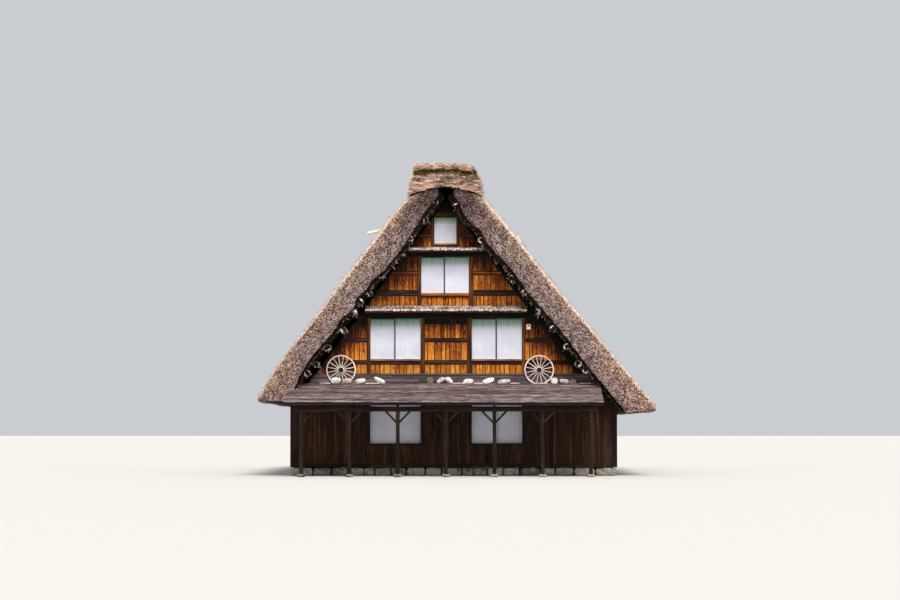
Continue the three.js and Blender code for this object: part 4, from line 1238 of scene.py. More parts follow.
def rake_line(side):
    """The inner edge of the raking timber, which is deep at its foot and thin at the ridge."""
    edge = GABLE_EDGE[side]
    foot, head = edge.inward(RAKE_FOOT[side]), edge.inward(0.01)
    return Line.through((foot.x(GABLE_FOOT_Z), GABLE_FOOT_Z), (head.x(GABLE_APEX_Z), GABLE_APEX_Z))


RAKE_LINES = {side: rake_line(side) for side in SLOPES}
WINDOWS = {
    "storey_2_left": {"x": (-2.71, -0.91), "z": (4.16, 5.61), "leaves": 2},
    "storey_2_right": {"x": (0.92, 2.71), "z": (4.16, 5.61), "leaves": 2},
    "storey_3": {"x": (-0.89, 0.81), "z": (6.52, 7.82), "leaves": 2},
    "storey_4": {"x": (-0.42, 0.37), "z": (8.30, 9.24), "leaves": 1},
}
# Posts from edge to edge, rails from foot to head with a kind of their own if they need one, the thickness
# and kind of the window sills, and the painted sun on the boards
STOREYS = [
    {
        "posts": [(-2.82, -2.71), (-0.91, -0.77), (0.76, 0.92), (2.71, 2.82)], "z": (3.63, 5.87),
        "rails": [(3.98, 4.10), (4.78, 4.89), (5.61, 5.72), (5.86, 6.04)],
        "windows": ["storey_2_left", "storey_2_right"], "sun": 1.0, "rail_kind": GREYED,
        "sill": (0.06, SILL_WORN),
    },
    {
        "posts": [(-1.02, -0.89), (0.81, 0.97)], "z": (6.04, 8.02),
        "rails": [(6.44, 6.61, GREYED), (7.18, 7.29), (7.82, 7.92), (8.00, 8.16)],
        "windows": ["storey_3"], "sun": 0.68, "rail_kind": RAIL, "sill": (0.105, SILL_RED),
    },
    {
        "posts": [(-0.52, -0.42), (0.37, 0.47)], "z": (8.16, 9.30),
        "rails": [(8.54, 8.62), (9.30, 9.42, RAIL)],
        "windows": ["storey_4"], "sun": 0.7, "rail_kind": RAIL, "sill": (0.06, SILL_RED),
    },
]


# Boards near-black with painted shade under the lower pent beside the two windows, with a brown scrap left on
# a nail
RECESS = {"x": [(-6.0, -2.82), (-0.77, 0.76), (2.82, 6.0)], "z": (5.40, 5.61), "scrap": (0.31, 5.49)}


def cut_to_rakes(outline):
    """An outline cut off at the inner edges of the two raking timbers."""
    for side, line in RAKE_LINES.items():
        if len(outline) > 2:
            outline = kept(outline, (-line.slope, 1), line.rise)
    return outline


def add_dark_recess(batch, place, rng):
    """The boards beside the lower windows' heads, near-black with the pent's painted shade."""
    for x0, x1 in RECESS["x"]:
        region = cut_to_rakes(rectangle(x0, x1, *RECESS["z"]))
        fill_with_boards(batch, region, BOARD_Y + 0.02, BOARD_Y + 0.028, place, rng, kind=IN_PAINTED_SHADE)
    x, z = RECESS["scrap"]
    stick(batch, place, (x - 0.03, z + 0.02), (x + 0.05, z - 0.01), 0.035, BOARD_Y + 0.028, BOARD_Y + 0.034,
          kind=RAIL, tone=1.0)


def rectangle(x0, x1, z0, z1):
    """The corners of a rectangle on the wall, anticlockwise."""
    return np.array([(x0, z0), (x1, z0), (x1, z1), (x0, z1)], float)


def bays(storey):
    """The rectangles between posts, rails and windows."""
    edges = [-6.0, *[x for post in storey["posts"] for x in post], 6.0]
    rows = storey["rails"]
    spans = [(a[1], b[0]) for a, b in zip(rows, rows[1:])]
    if rows[0][0] > storey["z"][0]:
        spans.insert(0, (storey["z"][0], rows[0][0]))
    if storey is STOREYS[-1]:
        spans.append((rows[-1][1], 9.9))
    for x0, x1 in zip(edges[::2], edges[1::2]):
        holes = [WINDOWS[w]["z"] for w in storey["windows"] if x0 < sum(WINDOWS[w]["x"]) / 2 < x1]
        for z0, z1 in spans:
            if not holes:
                yield x0, x1, z0, z1
                continue
            low, high = holes[0]
            if z0 < low:
                yield x0, x1, z0, min(z1, low)
            if z1 > high:
                yield x0, x1, max(z0, high), z1


# The boards' share of painted sun falls by this much from the foot of a bay to its head, is lost by this much
# behind the cart wheels, where their shadow is painted, and gained between the two lower windows.
BAY_FALL = 0.2
WHEEL_SHADE = 0.75
WHEEL_HALF = 0.55
WHEEL_NODES = ("cart_wheel_left", "cart_wheel_right")
WHEEL_PLACES = [middle(node)[0] - RIDGE_X for node in WHEEL_NODES]
MIDDLE_GAIN = 0.12
MIDDLE_HALF = 0.8
# More sun is painted on the right side of the third storey than on the left, most of all in its lower rows.
RIGHT_GAIN = 0.90
UPPER_GAIN = 0.25
# The thatch's shade is painted on the boards beside the raking timbers.
RAKE_SHADE = 0.6
RAKE_SHADE_REACH = 0.55
# A bay whose foot is lower than these heights lies in the lowest row, in the second storey, in the third
# storey's lower rows or in the third storey.
LOWEST_ROW_Z, STOREY_2_Z, RIGHT_GAIN_Z, STOREY_3_Z = 3.9, 5, 7.2, 8


def painted_sun_on(storey, foot, head):
    """How much sun is painted on the boards of a bay: 1 at the foot of the storey, where they are also
    bleached, and 0 in the painted shade under the pent."""
    low, high = storey["z"]

    def level(x, z):
        value = 1.15 - (z - low) / (high - low) - BAY_FALL * (z - foot) / (head - foot)
        if foot < LOWEST_ROW_Z:
            from_wheel = np.min([abs(x - place) for place in WHEEL_PLACES], axis=0)
            value = value - WHEEL_SHADE * (from_wheel < WHEEL_HALF)
        if foot < STOREY_2_Z:
            value = value + MIDDLE_GAIN * (abs(x) < MIDDLE_HALF)
        elif foot < STOREY_3_Z:
            value = value + (RIGHT_GAIN if foot < RIGHT_GAIN_Z else UPPER_GAIN) * (x > MIDDLE_HALF)
        for line in RAKE_LINES.values():
            away = (line.z(x) - z) / math.hypot(1, line.slope)
            value = value - RAKE_SHADE * np.clip(1 - away / RAKE_SHADE_REACH, 0, 1)
        return storey["sun"] * np.clip(value, 0, 1.15)

    return level


def add_gable(name, end):
    """The boards, posts, rails, sills and raking timbers of one gable."""
    place = on_gable(end)
    rng = np.random.default_rng(80 + end)
    boards, frame_bars, sills = Batch(), Batch(), Batch()
    for storey in STOREYS:
        low, high = storey["z"]
        window_head = WINDOWS[storey["windows"][0]]["z"][1]
        for bay in bays(storey):
            region = cut_to_rakes(rectangle(*bay))
            # Bays above the windows' heads lie under the pent: painted shade makes their boards near-black.
            if bay[2] > window_head:
                fill_with_boards(frame_bars, region, BOARD_Y, BOARD_Y + 0.022, place, rng, kind=IN_PAINTED_SHADE)
                continue
            fill_with_boards(boards, region, BOARD_Y, BOARD_Y + 0.022, place, rng,
                             level=painted_sun_on(storey, *bay[2:]))
        for x0, x1 in storey["posts"]:
            top = min(high, RAKE_LINES[-1].z(x0), RAKE_LINES[1].z(x1)) + 0.05
            mid = (x0 + x1) / 2
            joint = min(top, window_head + 0.02)
            stick(frame_bars, place, (mid, low - 0.02), (mid, joint), x1 - x0, BOARD_Y - 0.01, WALL_Y,
                  chamfer=0.008, bow=rng.uniform(-0.008, 0.008), steps=6, kind=POST, tone=rng.uniform())
            # Above the windows' heads the posts are painted near-black with the pent's shade.
            if top > joint + 0.05:
                stick(frame_bars, place, (mid, joint), (mid, top), x1 - x0, BOARD_Y - 0.01, WALL_Y,
                      chamfer=0.008, kind=IN_PAINTED_SHADE, tone=0.8)
        for z0, z1, *kind in storey["rails"]:
            add_rail(frame_bars, place, storey, z0, z1, rng, *kind)
        for window in storey["windows"]:
            add_sill(sills, place, WINDOWS[window], *storey["sill"])
    for side, line in RAKE_LINES.items():
        edge = GABLE_EDGE[side]
        rake = [(edge.x(GABLE_FOOT_Z), GABLE_FOOT_Z), (line.x(GABLE_FOOT_Z), GABLE_FOOT_Z),
                (line.x(9.75), 9.75), (edge.x(9.75), 9.75)]
        rake = np.array(rake if side < 0 else rake[::-1])
        # The raking timbers are painted near-black with the thatch's shade.
        panel(frame_bars, rake, BOARD_Y, WALL_Y + 0.005, place, chamfer=0.01, kind=IN_PAINTED_SHADE, tone=0.4)
    piece(f"{name}_gable_boards", boards, [BOARDS])
    add_dark_recess(frame_bars, place, rng)
    piece(f"{name}_gable_timbers", frame_bars, GABLE_FINISHES, [f"{name}_gable_frame"])
    piece(f"{name}_window_sills", sills, SILL_FINISHES)


# Timbers this far below a pent's foot or less are painted near-black with its shade: no sun or rain gets
# there.
SHADED_DEPTH = 0.45


def add_rail(batch, place, storey, z0, z1, rng, kind=None):
    """A rail from rake to rake, left out where a window stands in its way."""
    z = (z0 + z1) / 2
    stops = [RAKE_LINES[-1].x(z), RAKE_LINES[1].x(z)]
    for window in storey["windows"]:
        if WINDOWS[window]["z"][0] < z < WINDOWS[window]["z"][1]:
            stops += WINDOWS[window]["x"]
    stops.sort()
    # A rail close under a pent is painted near-black with the pent's shade.
    if kind is None:
        kind = IN_PAINTED_SHADE if z1 > storey["z"][1] - SHADED_DEPTH else storey["rail_kind"]
    # Both ends run on behind the raking timbers.
    stops[0] -= 0.03
    stops[-1] += 0.03
    for a, b in zip(stops[::2], stops[1::2]):
        # A painted shadow draws a dark line along both edges of a rail: a wider, thinner bar behind it.
        stick(batch, place, (a, z), (b, z), z1 - z0 + 0.045, BOARD_Y, BOARD_Y + 0.03, chamfer=0.003,
              kind=RAIL_SHADOW, tone=0.0)
        stick(batch, place, (a, z), (b, z), z1 - z0 - 0.02, BOARD_Y - 0.01, WALL_Y - 0.014, chamfer=0.008,
              bow=rng.uniform(-0.006, 0.006), steps=8, kind=kind, tone=rng.uniform())


def add_sill(batch, place, window, thick, kind):
    """The sill of a window, with a dark strip in its shade."""
    (x0, x1), (z0, _) = window["x"], window["z"]
    stick(batch, place, (x0 - 0.01, z0 - thick / 2), (x1 + 0.01, z0 - thick / 2), thick, BOARD_Y,
          WALL_Y + 0.022, chamfer=0.006, kind=kind, tone=0.9)
    stick(batch, place, (x0 - 0.02, z0 - thick - 0.025), (x1 + 0.02, z0 - thick - 0.025), 0.05, BOARD_Y,
          WALL_Y + 0.004, chamfer=0.003, kind=SILL_SHADE, tone=0.0)


def add_leaf(wood_batch, paper_batch, place, x0, x1, z0, z1, face, rows, shade):
    """A sliding leaf: stiles and rails round a sheet of paper, with fine bars that show in front of it."""
    stile, deep = 0.034, 0.03
    for z, width, kind in ((z0 + 0.03, 0.06, LEAF_WOOD), (z1 - 0.02, 0.04, LEAF_TOP)):
        stick(wood_batch, place, (x0 + stile, z), (x1 - stile, z), width, face - deep, face - 0.001,
              chamfer=0.002, kind=kind, tone=0.6)
    inner = rectangle(x0 + stile, x1 - stile, z0 + 0.06, z1 - 0.04)
    # The sheet and the stiles have rows of their own, so that their shade runs from top to bottom.
    spans = [(x0, x0 + stile, z0, z1, 0, deep), (x1 - stile, x1, z0, z1, 0, deep),
             (x0 + stile, x1 - stile, inner[0, 1], inner[2, 1], 0.010, 0.012)]
    for a, b, low, high, front, back in spans:
        zs = np.linspace(low, high, 9)
        outs = face - np.array([front, front, back, back])
        rings = [place(np.array([a, b, b, a]), outs, z) for z in zs]
        loft(paper_batch, rings, level=np.clip((zs - z0) / (z1 - z0), 0, 1) * shade, tone=0.5)
    (left, foot), (right, head) = inner[0], inner[2]
    thin = {"chamfer": 0.001, "kind": LEAF_BAR, "tone": 0.4}
    count = max(2, int(round((right - left) / PAPER_BAR_PITCH)))
    for a in np.linspace(left, right, count + 1)[1:-1]:
        stick(wood_batch, place, (a, foot), (a, head), 0.008, face - 0.011, face - 0.0065, **thin)
    for z in np.linspace(foot, head, rows + 1)[1:-1]:
        stick(wood_batch, place, (left, z), (right, z), 0.008, face - 0.011, face - 0.007, **thin)


# The leaves meet this far to the left of the middle of their window.
MEETING_SHIFT = 0.025


def add_windows(name, end):
    """The sliding windows of one gable: the left leaf of a pair runs behind the right one."""
    place = on_gable(end)
    bars, sheets = Batch(), Batch()
    nodes = []
    for window, facts in WINDOWS.items():
        (x0, x1), (z0, z1) = facts["x"], facts["z"]
        nodes.append(f"{name}_shoji_{window}")
        mid = (x0 + x1) / 2 - MEETING_SHIFT
        face = WALL_Y - 0.015
        if facts["leaves"] == 1:
            add_leaf(bars, sheets, place, x0, x1, z0, z1, face, 4, 1.05)
            continue
        add_leaf(bars, sheets, place, x0, mid + 0.025, z0, z1, face - 0.03, 5, 1.0)
        add_leaf(bars, sheets, place, mid + 0.030, x1, z0, z1, face, 5, 1.0)
        # A dark strip where the leaves meet paints the shadow of the right leaf on the left one.
        stick(bars, place, (mid + 0.008, z0), (mid + 0.008, z1), 0.046, face - 0.03, face + 0.002,
              chamfer=0.002, kind=LEAF_SHADOW, tone=0.2)
    piece(f"{name}_shoji_lattice", bars, LEAF_FINISHES)
    piece(f"{name}_shoji_paper", sheets, [PAPER], nodes)


for name, end in ENDS.items():
    add_gable(name, end)
    add_windows(name, end)


# Pents: courses of split shingles on the boards of the CAD slab

PENTS = {
    "lower": {"x": (-2.885, 2.89), "wall_z": 6.04, "edge_z": 5.85, "courses": 3},
    "upper": {"x": (-1.46, 1.46), "wall_z": 8.16, "edge_z": 8.015, "courses": 2},
}
PENT_REACH = 0.42


def add_pent(name, end, level, facts):
    """Courses of shingles from the eave up, each course over the one below."""
    rng = np.random.default_rng(100 + end + len(level))
    batch = Batch()
    place = on_gable(end)
    (x0, x1), courses = facts["x"], facts["courses"]
    fall = (facts["wall_z"] - facts["edge_z"]) / PENT_REACH

    def surface(out):
        return facts["wall_z"] - (out - WALL_Y) * fall

    course = PENT_REACH / courses
    for row in range(courses, 0, -1):
        at = x0
        while at < x1 - 0.03:
            width = min(rng.uniform(0.06, 0.17), x1 - at)
            low_out = WALL_Y + row * course + rng.uniform(0.0, 0.045)
            high_out = WALL_Y + max(0.0, (row - 1.35) * course)
            outermost = row == courses
            thick = rng.uniform(0.018, 0.036) if outermost else rng.uniform(0.010, 0.020)
            lift = 0.010 + 0.012 * (courses - row) + rng.uniform(0, 0.010)
            a = place(at + width / 2, high_out, surface(high_out) + lift * 0.4)
            b = place(at + width / 2 + rng.uniform(-0.01, 0.01), low_out, surface(low_out) + lift + thick / 2)
            bar(batch, a, b, width - rng.uniform(0.006, 0.026), thick, (1, 0, 0), chamfer=0.003,
                tone=rng.uniform(0.3, 1.0) if outermost else rng.uniform(0, 0.7))
            at += width
    # Short battens hold the shingles of the upper pent.
    if level == "upper":
        for at, long in ((-1.20, 0.48), (-0.45, 0.42), (0.32, 0.36), (0.92, 0.38), (1.30, 0.28)):
            out = WALL_Y + PENT_REACH - 0.05
            z = surface(out) + 0.055
            bar(batch, place(at - long / 2, out, z), place(at + long / 2, out, z + rng.uniform(-0.01, 0.01)),
                0.06, 0.035, (0, 1, 0), tone=1.0)
    piece(f"{name}_pent_{level}_shingles", batch, [SHINGLES])
    repaint(f"{name}_pent_{level}", FRAME_TIMBER)


for name, end in ENDS.items():
    for level, facts in PENTS.items():
        add_pent(name, end, level, facts)


# The boards at the foot of the gable

def add_kick_board(name, end):
    """Two rows of long boards, cut to the roof's slopes, under a narrow cap."""
    place = on_gable(end)
    rng = np.random.default_rng(120 + end)
    batch = Batch()
    low, high = corners(f"{name}_kick_board")
    z0, z1 = low[2], high[2]
    mid = z0 + 0.55 * (z1 - z0)
    left, right = LEFT_INNER.inward(LOG + 0.02), RIGHT_INNER.inward(LOG + 0.02)
    for bottom, top, face in ((z0, mid + 0.02, WALL_Y + 0.036), (mid, z1, WALL_Y + 0.05)):
        outline = np.array([
            (left.x(bottom), bottom), (right.x(bottom), bottom), (right.x(top), top), (left.x(top), top),
        ])
        at = outline[:, 0].min()
        while at < outline[:, 0].max():
            long = rng.uniform(2.6, 4.0)
            part = clean(kept(kept(outline, (-1, 0), -at), (1, 0), at + long - 0.004))
            face_here = face + rng.uniform(-0.003, 0.003)
            panel(batch, part, WALL_Y, face_here, place, lying=True, tone=rng.uniform(0.3, 0.8))
            at += long
    left, right = LEFT_INNER.inward(LOG + 0.1), RIGHT_INNER.inward(LOG + 0.1)
    stick(batch, place, (left.x(z1), z1 - 0.02), (right.x(z1), z1 - 0.02), 0.04, WALL_Y, WALL_Y + 0.075,
          chamfer=0.004, tone=1.0, steps=2)
    piece(f"{name}_kick_boards", batch, [KICK_BOARD], [f"{name}_kick_board"])


for name, end in ENDS.items():
    add_kick_board(name, end)


# Lean-to roofs: lapped planks on the CAD slab, and what weighs them down

LEANTO_TOP_Z = 3.24
LEANTO_LEDGE_Y = WALL_Y + 0.30
LEANTO_EAVE_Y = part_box("rear_leanto_roof")[1].y
LEANTO_EAVE_Z = 2.56
LEANTO_RIGHT_X = 5.47
LEANTO_EAVE_LEFT_X = -5.65
# The left end of the roof, out from the middle of the house and across from the ridge
LEANTO_LEFT = [(9.01, -5.19), (9.03, -5.43), (9.50, LEANTO_EAVE_LEFT_X)]
LEANTO_COURSES = 15
LEANTO_FALL = (LEANTO_TOP_Z - LEANTO_EAVE_Z) / (LEANTO_EAVE_Y - LEANTO_LEDGE_Y)


def leanto_z(out):
    """The height of the lean-to's slab this far out from the middle of the house."""
    return LEANTO_TOP_Z - max(0.0, out - LEANTO_LEDGE_Y) * LEANTO_FALL


def leanto_left(out):
    """Where the lean-to's left end lies this far out."""
    return np.interp(out, *np.array(LEANTO_LEFT).T)


def add_leanto(name, end):
    """Lapped planks from the ledge down to the eave, and the board along the eave."""
    place = on_gable(end)
    rng = np.random.default_rng(140 + end)
    batch = Batch()
    edges = [WALL_Y + 0.05, *np.linspace(LEANTO_LEDGE_Y, LEANTO_EAVE_Y, LEANTO_COURSES + 1)]
    for row, (near, far) in enumerate(zip(edges, edges[1:])):
        far = min(far + 0.02, LEANTO_EAVE_Y - 0.014)
        near = near - 0.04 if row else near
        left, right = leanto_left((near + far) / 2), LEANTO_RIGHT_X
        at = left
        while at < right:
            long = min(rng.uniform(1.8, 3.9), right - at)
            if right - at - long < 0.5:
                long = right - at
            lift = 0.006 + rng.uniform(0, 0.006)
            wave = rng.uniform(-0.003, 0.003)
            upper = place(0, near, leanto_z(near) + lift)[2]
            lower = leanto_z(far) + lift + 0.022
            middle_out, middle_z = (near + far) / 2, (upper + lower) / 2
            across = place(0, far, lower) - place(0, near, upper)
            bow = rng.uniform(-0.004, 0.004)
            # The ledge and the eave course are pale, the course under the ledge dark.
            if row in (0, LEANTO_COURSES):
                tone = 1.0
            else:
                tone = rng.uniform(0, 0.3 if row == 1 else 0.9)
            start = place(at + 0.002, middle_out, middle_z + wave)
            stop = place(at + long - 0.002, middle_out, middle_z - wave)
            bar(batch, start, stop, np.linalg.norm(across), 0.018, across, chamfer=0.003, steps=2, bow=bow,
                tone=tone)
            # A dark strip at the butt of each plank paints the shadow of its lap.
            if 0 < row < LEANTO_COURSES:
                butt_z = lower - 0.010
                bar(batch, place(at + 0.002, far + 0.001, butt_z),
                    place(at + long - 0.002, far + 0.001, butt_z), 0.014, 0.012, (0, 0, 1), chamfer=0.002,
                    kind=SHADED_UNDERSIDE, tone=rng.uniform())
            at += long
    # The board along the eave is painted dark with the shade under the eave.
    out = LEANTO_EAVE_Y - 0.011
    bar(batch, place(LEANTO_EAVE_LEFT_X + 0.02, out, leanto_z(out) - 0.045),
        place(LEANTO_RIGHT_X, out, leanto_z(out) - 0.045), 0.075, 0.02, (0, 0, 1), chamfer=0.003, steps=6,
        kind=SHADED_UNDERSIDE, tone=0.2)
    piece(f"{name}_leanto_planks", batch, PLANK_FINISHES)
    repaint(f"{name}_leanto_roof", GREY_UNDER_SHADE)


for name, end in ENDS.items():
    add_leanto(name, end)


def blob(batch, centre, size, seed, tilt=0.0, square=0.0, cells=(8, 6, 6), rough=0.12, **more):
    """A worn stone: a box drawn towards an egg, with bumps. tilt turns it in the gable's plane."""
    steps, quads, _ = shell(cells)
    cube = steps / np.array(cells) * 2 - 1
    ball = cube / np.linalg.norm(cube, axis=1, keepdims=True)
    body = ball * (1 - square) + cube * square * 0.8
    bumps = 1 + rough * noise(body + seed * 7.1, 0.9, seed)
    body *= (bumps + 0.04 * noise(body + seed * 3.3, 0.35, seed))[:, None]
    points = body * np.array(size) / 2
    c, s = math.cos(tilt), math.sin(tilt)
    x, z = points[:, 0] * c - points[:, 2] * s, points[:, 0] * s + points[:, 2] * c
    points = np.stack([x, points[:, 1], z], -1)
    points[:, 2] -= points[:, 2].min()
    batch.add(points + np.array(centre), [quads], [points[quads][..., :2]], [more.pop("kind", 0)], **more)


# Stones on the ledge: distance along the gable, size along and up in metres, tilt in degrees, kind
LEDGE_STONES = [
    (-3.93, 0.36, 0.20, 0, WHITE), (-3.52, 0.36, 0.19, 8, PINK), (-3.04, 0.40, 0.17, 10, WHITE),
    (-2.38, 0.42, 0.15, -24, WHITE), (-0.57, 0.24, 0.22, 0, BROWN), (-0.21, 0.32, 0.17, 38, WHITE),
    (0.12, 0.32, 0.18, -42, WHITE), (0.79, 0.42, 0.17, 0, WHITE), (1.50, 0.40, 0.17, 18, WHITE),
    (2.07, 0.46, 0.16, 6, WHITE), (3.86, 0.26, 0.20, 0, PINK), (4.20, 0.34, 0.15, -8, WHITE),
    (4.52, 0.28, 0.17, 0, BROWN),
]
LEDGE_SLABS = [(-4.30, 0.45), (-2.62, 0.62), (0.45, 0.55), (1.15, 0.40), (2.45, 0.42), (3.35, 0.62),
               (4.95, 0.45)]


def add_stones(name, end):
    """Stones and flat slabs on the ledge over the lean-to."""
    place = on_gable(end)
    batch = Batch()
    rng = np.random.default_rng(160 + end)
    top = LEANTO_TOP_Z + 0.034
    for n, (along, wide, high, tilt, kind) in enumerate(LEDGE_STONES):
        centre = place(-end * along, WALL_Y + 0.185 + rng.uniform(-0.01, 0.02), top - 0.006)
        blob(batch, centre, (wide * 1.05, 0.19, high * 1.1), n + 1, tilt=math.radians(tilt),
             square=0.55 if kind == BROWN else 0.25, cells=(4, 3, 3), rough=0.26, kind=kind,
             tone=rng.uniform())
    for n, (along, wide) in enumerate(LEDGE_SLABS):
        centre = place(-end * along, WALL_Y + 0.20, top - 0.006)
        blob(batch, centre, (wide, 0.22, 0.045), n + 40, square=0.7, rough=0.08, kind=PINK,
             tone=rng.uniform(0.4, 1))
    piece(f"{name}_roof_stones", batch, STONE_FINISHES)


for name, end in ENDS.items():
    add_stones(name, end)


# Cart wheels that lean on the gable's foot

WHEEL = {"radius": 0.53, "rim": 0.045, "deep": 0.05, "spokes": 16, "felloes": 8}
# Half the gap between two felloes, as a turn in radians
FELLOE_GAP = 0.004
# The hub and the iron plate in its middle, as rings with a radius and a distance along the axle
HUB = [(0.070, -0.040), (0.092, -0.036), (0.104, -0.020), (0.106, 0.030), (0.092, 0.040), (0.070, 0.042)]
HUB_PLATE = [(0.004, -0.060), (0.080, -0.060), (0.088, -0.050), (0.088, 0.030), (0.004, 0.030)]


def add_wheel(node):
    """A spoked wheel in felloes, flat against the wall."""
    batch = Batch()
    centre = middle(node) - (RIDGE_X, 0, 0)
    low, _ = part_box(node)
    centre[1] = low.y + 0.065
    centre[2] = low.z + WHEEL["radius"]
    rng = np.random.default_rng(180)
    radius, rim, deep = WHEEL["radius"], WHEEL["rim"], WHEEL["deep"]
    half, c = deep / 2, 0.006
    section = [
        (-c, -half), (0, c - half), (0, half - c), (-c, half), (c - rim, half), (-rim, half - c),
        (-rim, c - half), (c - rim, -half),
    ]
    share = 2 * math.pi / WHEEL["felloes"]
    for n in range(WHEEL["felloes"]):
        arc = (n * share + FELLOE_GAP, (n + 1) * share - FELLOE_GAP)
        hoop(batch, centre, (0, 1, 0), radius, section, 9, arc=arc, tone=rng.uniform(0.4, 1))
    front = centre + (0, -0.012, 0)
    for n in range(WHEEL["spokes"]):
        turn = (n + 0.5) * 2 * math.pi / WHEEL["spokes"]
        way = np.array((math.cos(turn), 0, math.sin(turn)))
        spoke(batch, centre + way * 0.09, centre + way * (radius - rim + 0.012), (0.031, 0.022), rng)
    for profile, kind, hollow in ((HUB, WHEEL_WOOD, True), (HUB_PLATE, WHEEL_METAL, False)):
        rings = [front + np.insert(circle(r, 28), 1, y, axis=1) for r, y in profile]
        loft(batch, rings, kind=kind, closed=hollow, tone=0.6)
    piece(f"{node}_wood", batch, WHEEL_FINISHES, [node])


def spoke(batch, start, end, widths, rng):
    """A spoke that is thicker at the nave than at the rim."""
    axis = unit(end - start)
    across = unit(np.cross(axis, (0, 1, 0)))
    rings = []
    for share in (0, 0.25, 0.5, 0.75, 1):
        half = (widths[0] + (widths[1] - widths[0]) * share) / 2
        ring = circle(1, 8)
        rings.append(start + (end - start) * share + ring[:, :1] * across * half
                     + ring[:, 1:] * np.array((0, half * 0.85, 0)))
    loft(batch, rings, tone=rng.uniform(0.2, 1))


for node in WHEEL_NODES:
    add_wheel(node)


# Ground storey

FOOTING_TOP_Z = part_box("footing")[1].z
SIDE_WALLS = {
    -1: {"out": 5.504, "top": 2.60, "node": "left_ground_wall", "windows": [-5.4, 0.0, 5.4], "doors": []},
    1: {
        "out": 6.05, "top": 2.50, "node": "right_ground_wall", "windows": [-5.4, -1.5, 5.6],
        "doors": [(1.5, 3.3, 0.42, 2.32)],
    },
}
WINDOW_WIDTH = 1.8
SIDE_WINDOW_Z = (0.95, 2.15)
GABLE_WINDOW_Z = (1.15, 2.55)
GABLE_WINDOW_X = (-1.81, 1.815)
BAY = 1.8


def add_clad_wall(name, place, span, z_span, holes, out, rng):
    """Boards between posts on a ground storey wall, round its windows and doors."""
    boards, bars = Batch(), Batch()
    face = out + 0.022
    low, high = z_span
    xs = sorted({span[0], span[1], *[x for hole in holes for x in hole[:2]]})
    for x0, x1 in zip(xs, xs[1:]):
        inside = [hole for hole in holes if hole[0] < (x0 + x1) / 2 < hole[1]]
        parts = [(low, inside[0][2]), (inside[0][3], high)] if inside else [(low, high)]
        for z0, z1 in parts:
            if z1 - z0 > 0.03:
                fill_with_boards(boards, rectangle(x0, x1, z0, z1), out, face, place, rng,
                                 widths=(0.15, 0.24))
    count = max(2, int(round((span[1] - span[0]) / BAY)))
    for x in np.linspace(span[0] + 0.06, span[1] - 0.06, count + 1):
        if any(hole[0] - 0.05 < x < hole[1] + 0.05 for hole in holes):
            continue
        stick(bars, place, (x, low), (x, high), 0.12, out, out + 0.05, tone=rng.uniform(),
              bow=rng.uniform(-0.006, 0.006), steps=4)
    for z, width in ((low + 0.06, 0.12), (high - 0.06, 0.12)):
        for a, b in zip(xs, xs[1:]):
            blocked = [hole for hole in holes if hole[0] < (a + b) / 2 < hole[1] and hole[2] < z < hole[3]]
            if not blocked:
                stick(bars, place, (a, z), (b, z), width, out, out + 0.042, tone=rng.uniform(), steps=2)
    for x0, x1, z0, z1 in holes:
        for x in (x0 - 0.04, x1 + 0.04):
            stick(bars, place, (x, z0 - 0.05), (x, z1 + 0.05), 0.08, out - 0.05, out + 0.055,
                  tone=rng.uniform())
        for z in (z0 - 0.035, z1 + 0.035):
            if z > low + 0.1:
                stick(bars, place, (x0 - 0.08, z), (x1 + 0.08, z), 0.07, out - 0.05, out + 0.06,
                      tone=rng.uniform())
    piece(f"{name}_boards", boards, [PLAIN_BOARDS])
    piece(f"{name}_posts", bars, [PLAIN_TIMBER])


def add_ground_windows(name, place, holes, face, nodes):
    """A sliding pair in each hole, one leaf behind the other."""
    bars, sheets = Batch(), Batch()
    for x0, x1, z0, z1 in holes:
        mid = (x0 + x1) / 2
        add_leaf(bars, sheets, place, x0, mid + 0.02, z0, z1, face, 4, 0.6)
        add_leaf(bars, sheets, place, mid - 0.02, x1, z0, z1, face - 0.031, 4, 0.6)
        # A dark strip where the leaves meet paints the shadow between them.
        stick(bars, place, (mid + 0.028, z0), (mid + 0.028, z1), 0.016, face - 0.03, face, chamfer=0.002,
              kind=LEAF_SHADOW, tone=0.2)
    piece(f"{name}_lattice", bars, LEAF_FINISHES)
    piece(f"{name}_paper", sheets, [PAPER], nodes)


def add_ground_storey():
    for name, end in ENDS.items():
        rng = np.random.default_rng(200 + end)
        place = on_gable(end)
        holes = [(x - WINDOW_WIDTH / 2, x + WINDOW_WIDTH / 2, *GABLE_WINDOW_Z) for x in GABLE_WINDOW_X]
        add_clad_wall(f"{name}_ground_wall", place, (-5.30, 5.62), (FOOTING_TOP_Z, 3.12), holes, WALL_Y, rng)
        add_ground_windows(f"{name}_ground_shoji", place, holes, WALL_Y - 0.095, [f"{name}_ground_shoji"])
    for side, facts in SIDE_WALLS.items():
        rng = np.random.default_rng(220 + side)
        place = on_side(side)
        windows = [(y - WINDOW_WIDTH / 2, y + WINDOW_WIDTH / 2, *SIDE_WINDOW_Z) for y in facts["windows"]]
        add_clad_wall(facts["node"], place, (-WALL_Y, WALL_Y), (FOOTING_TOP_Z, facts["top"]),
                      windows + facts["doors"], facts["out"], rng)
        nodes = ["left_ground_shoji"] if side < 0 else ["right_ground_shoji_front", "right_ground_shoji_rear"]
        add_ground_windows(facts["node"].replace("wall", "shoji"), place, windows, facts["out"] - 0.155,
                           nodes)


add_ground_storey()


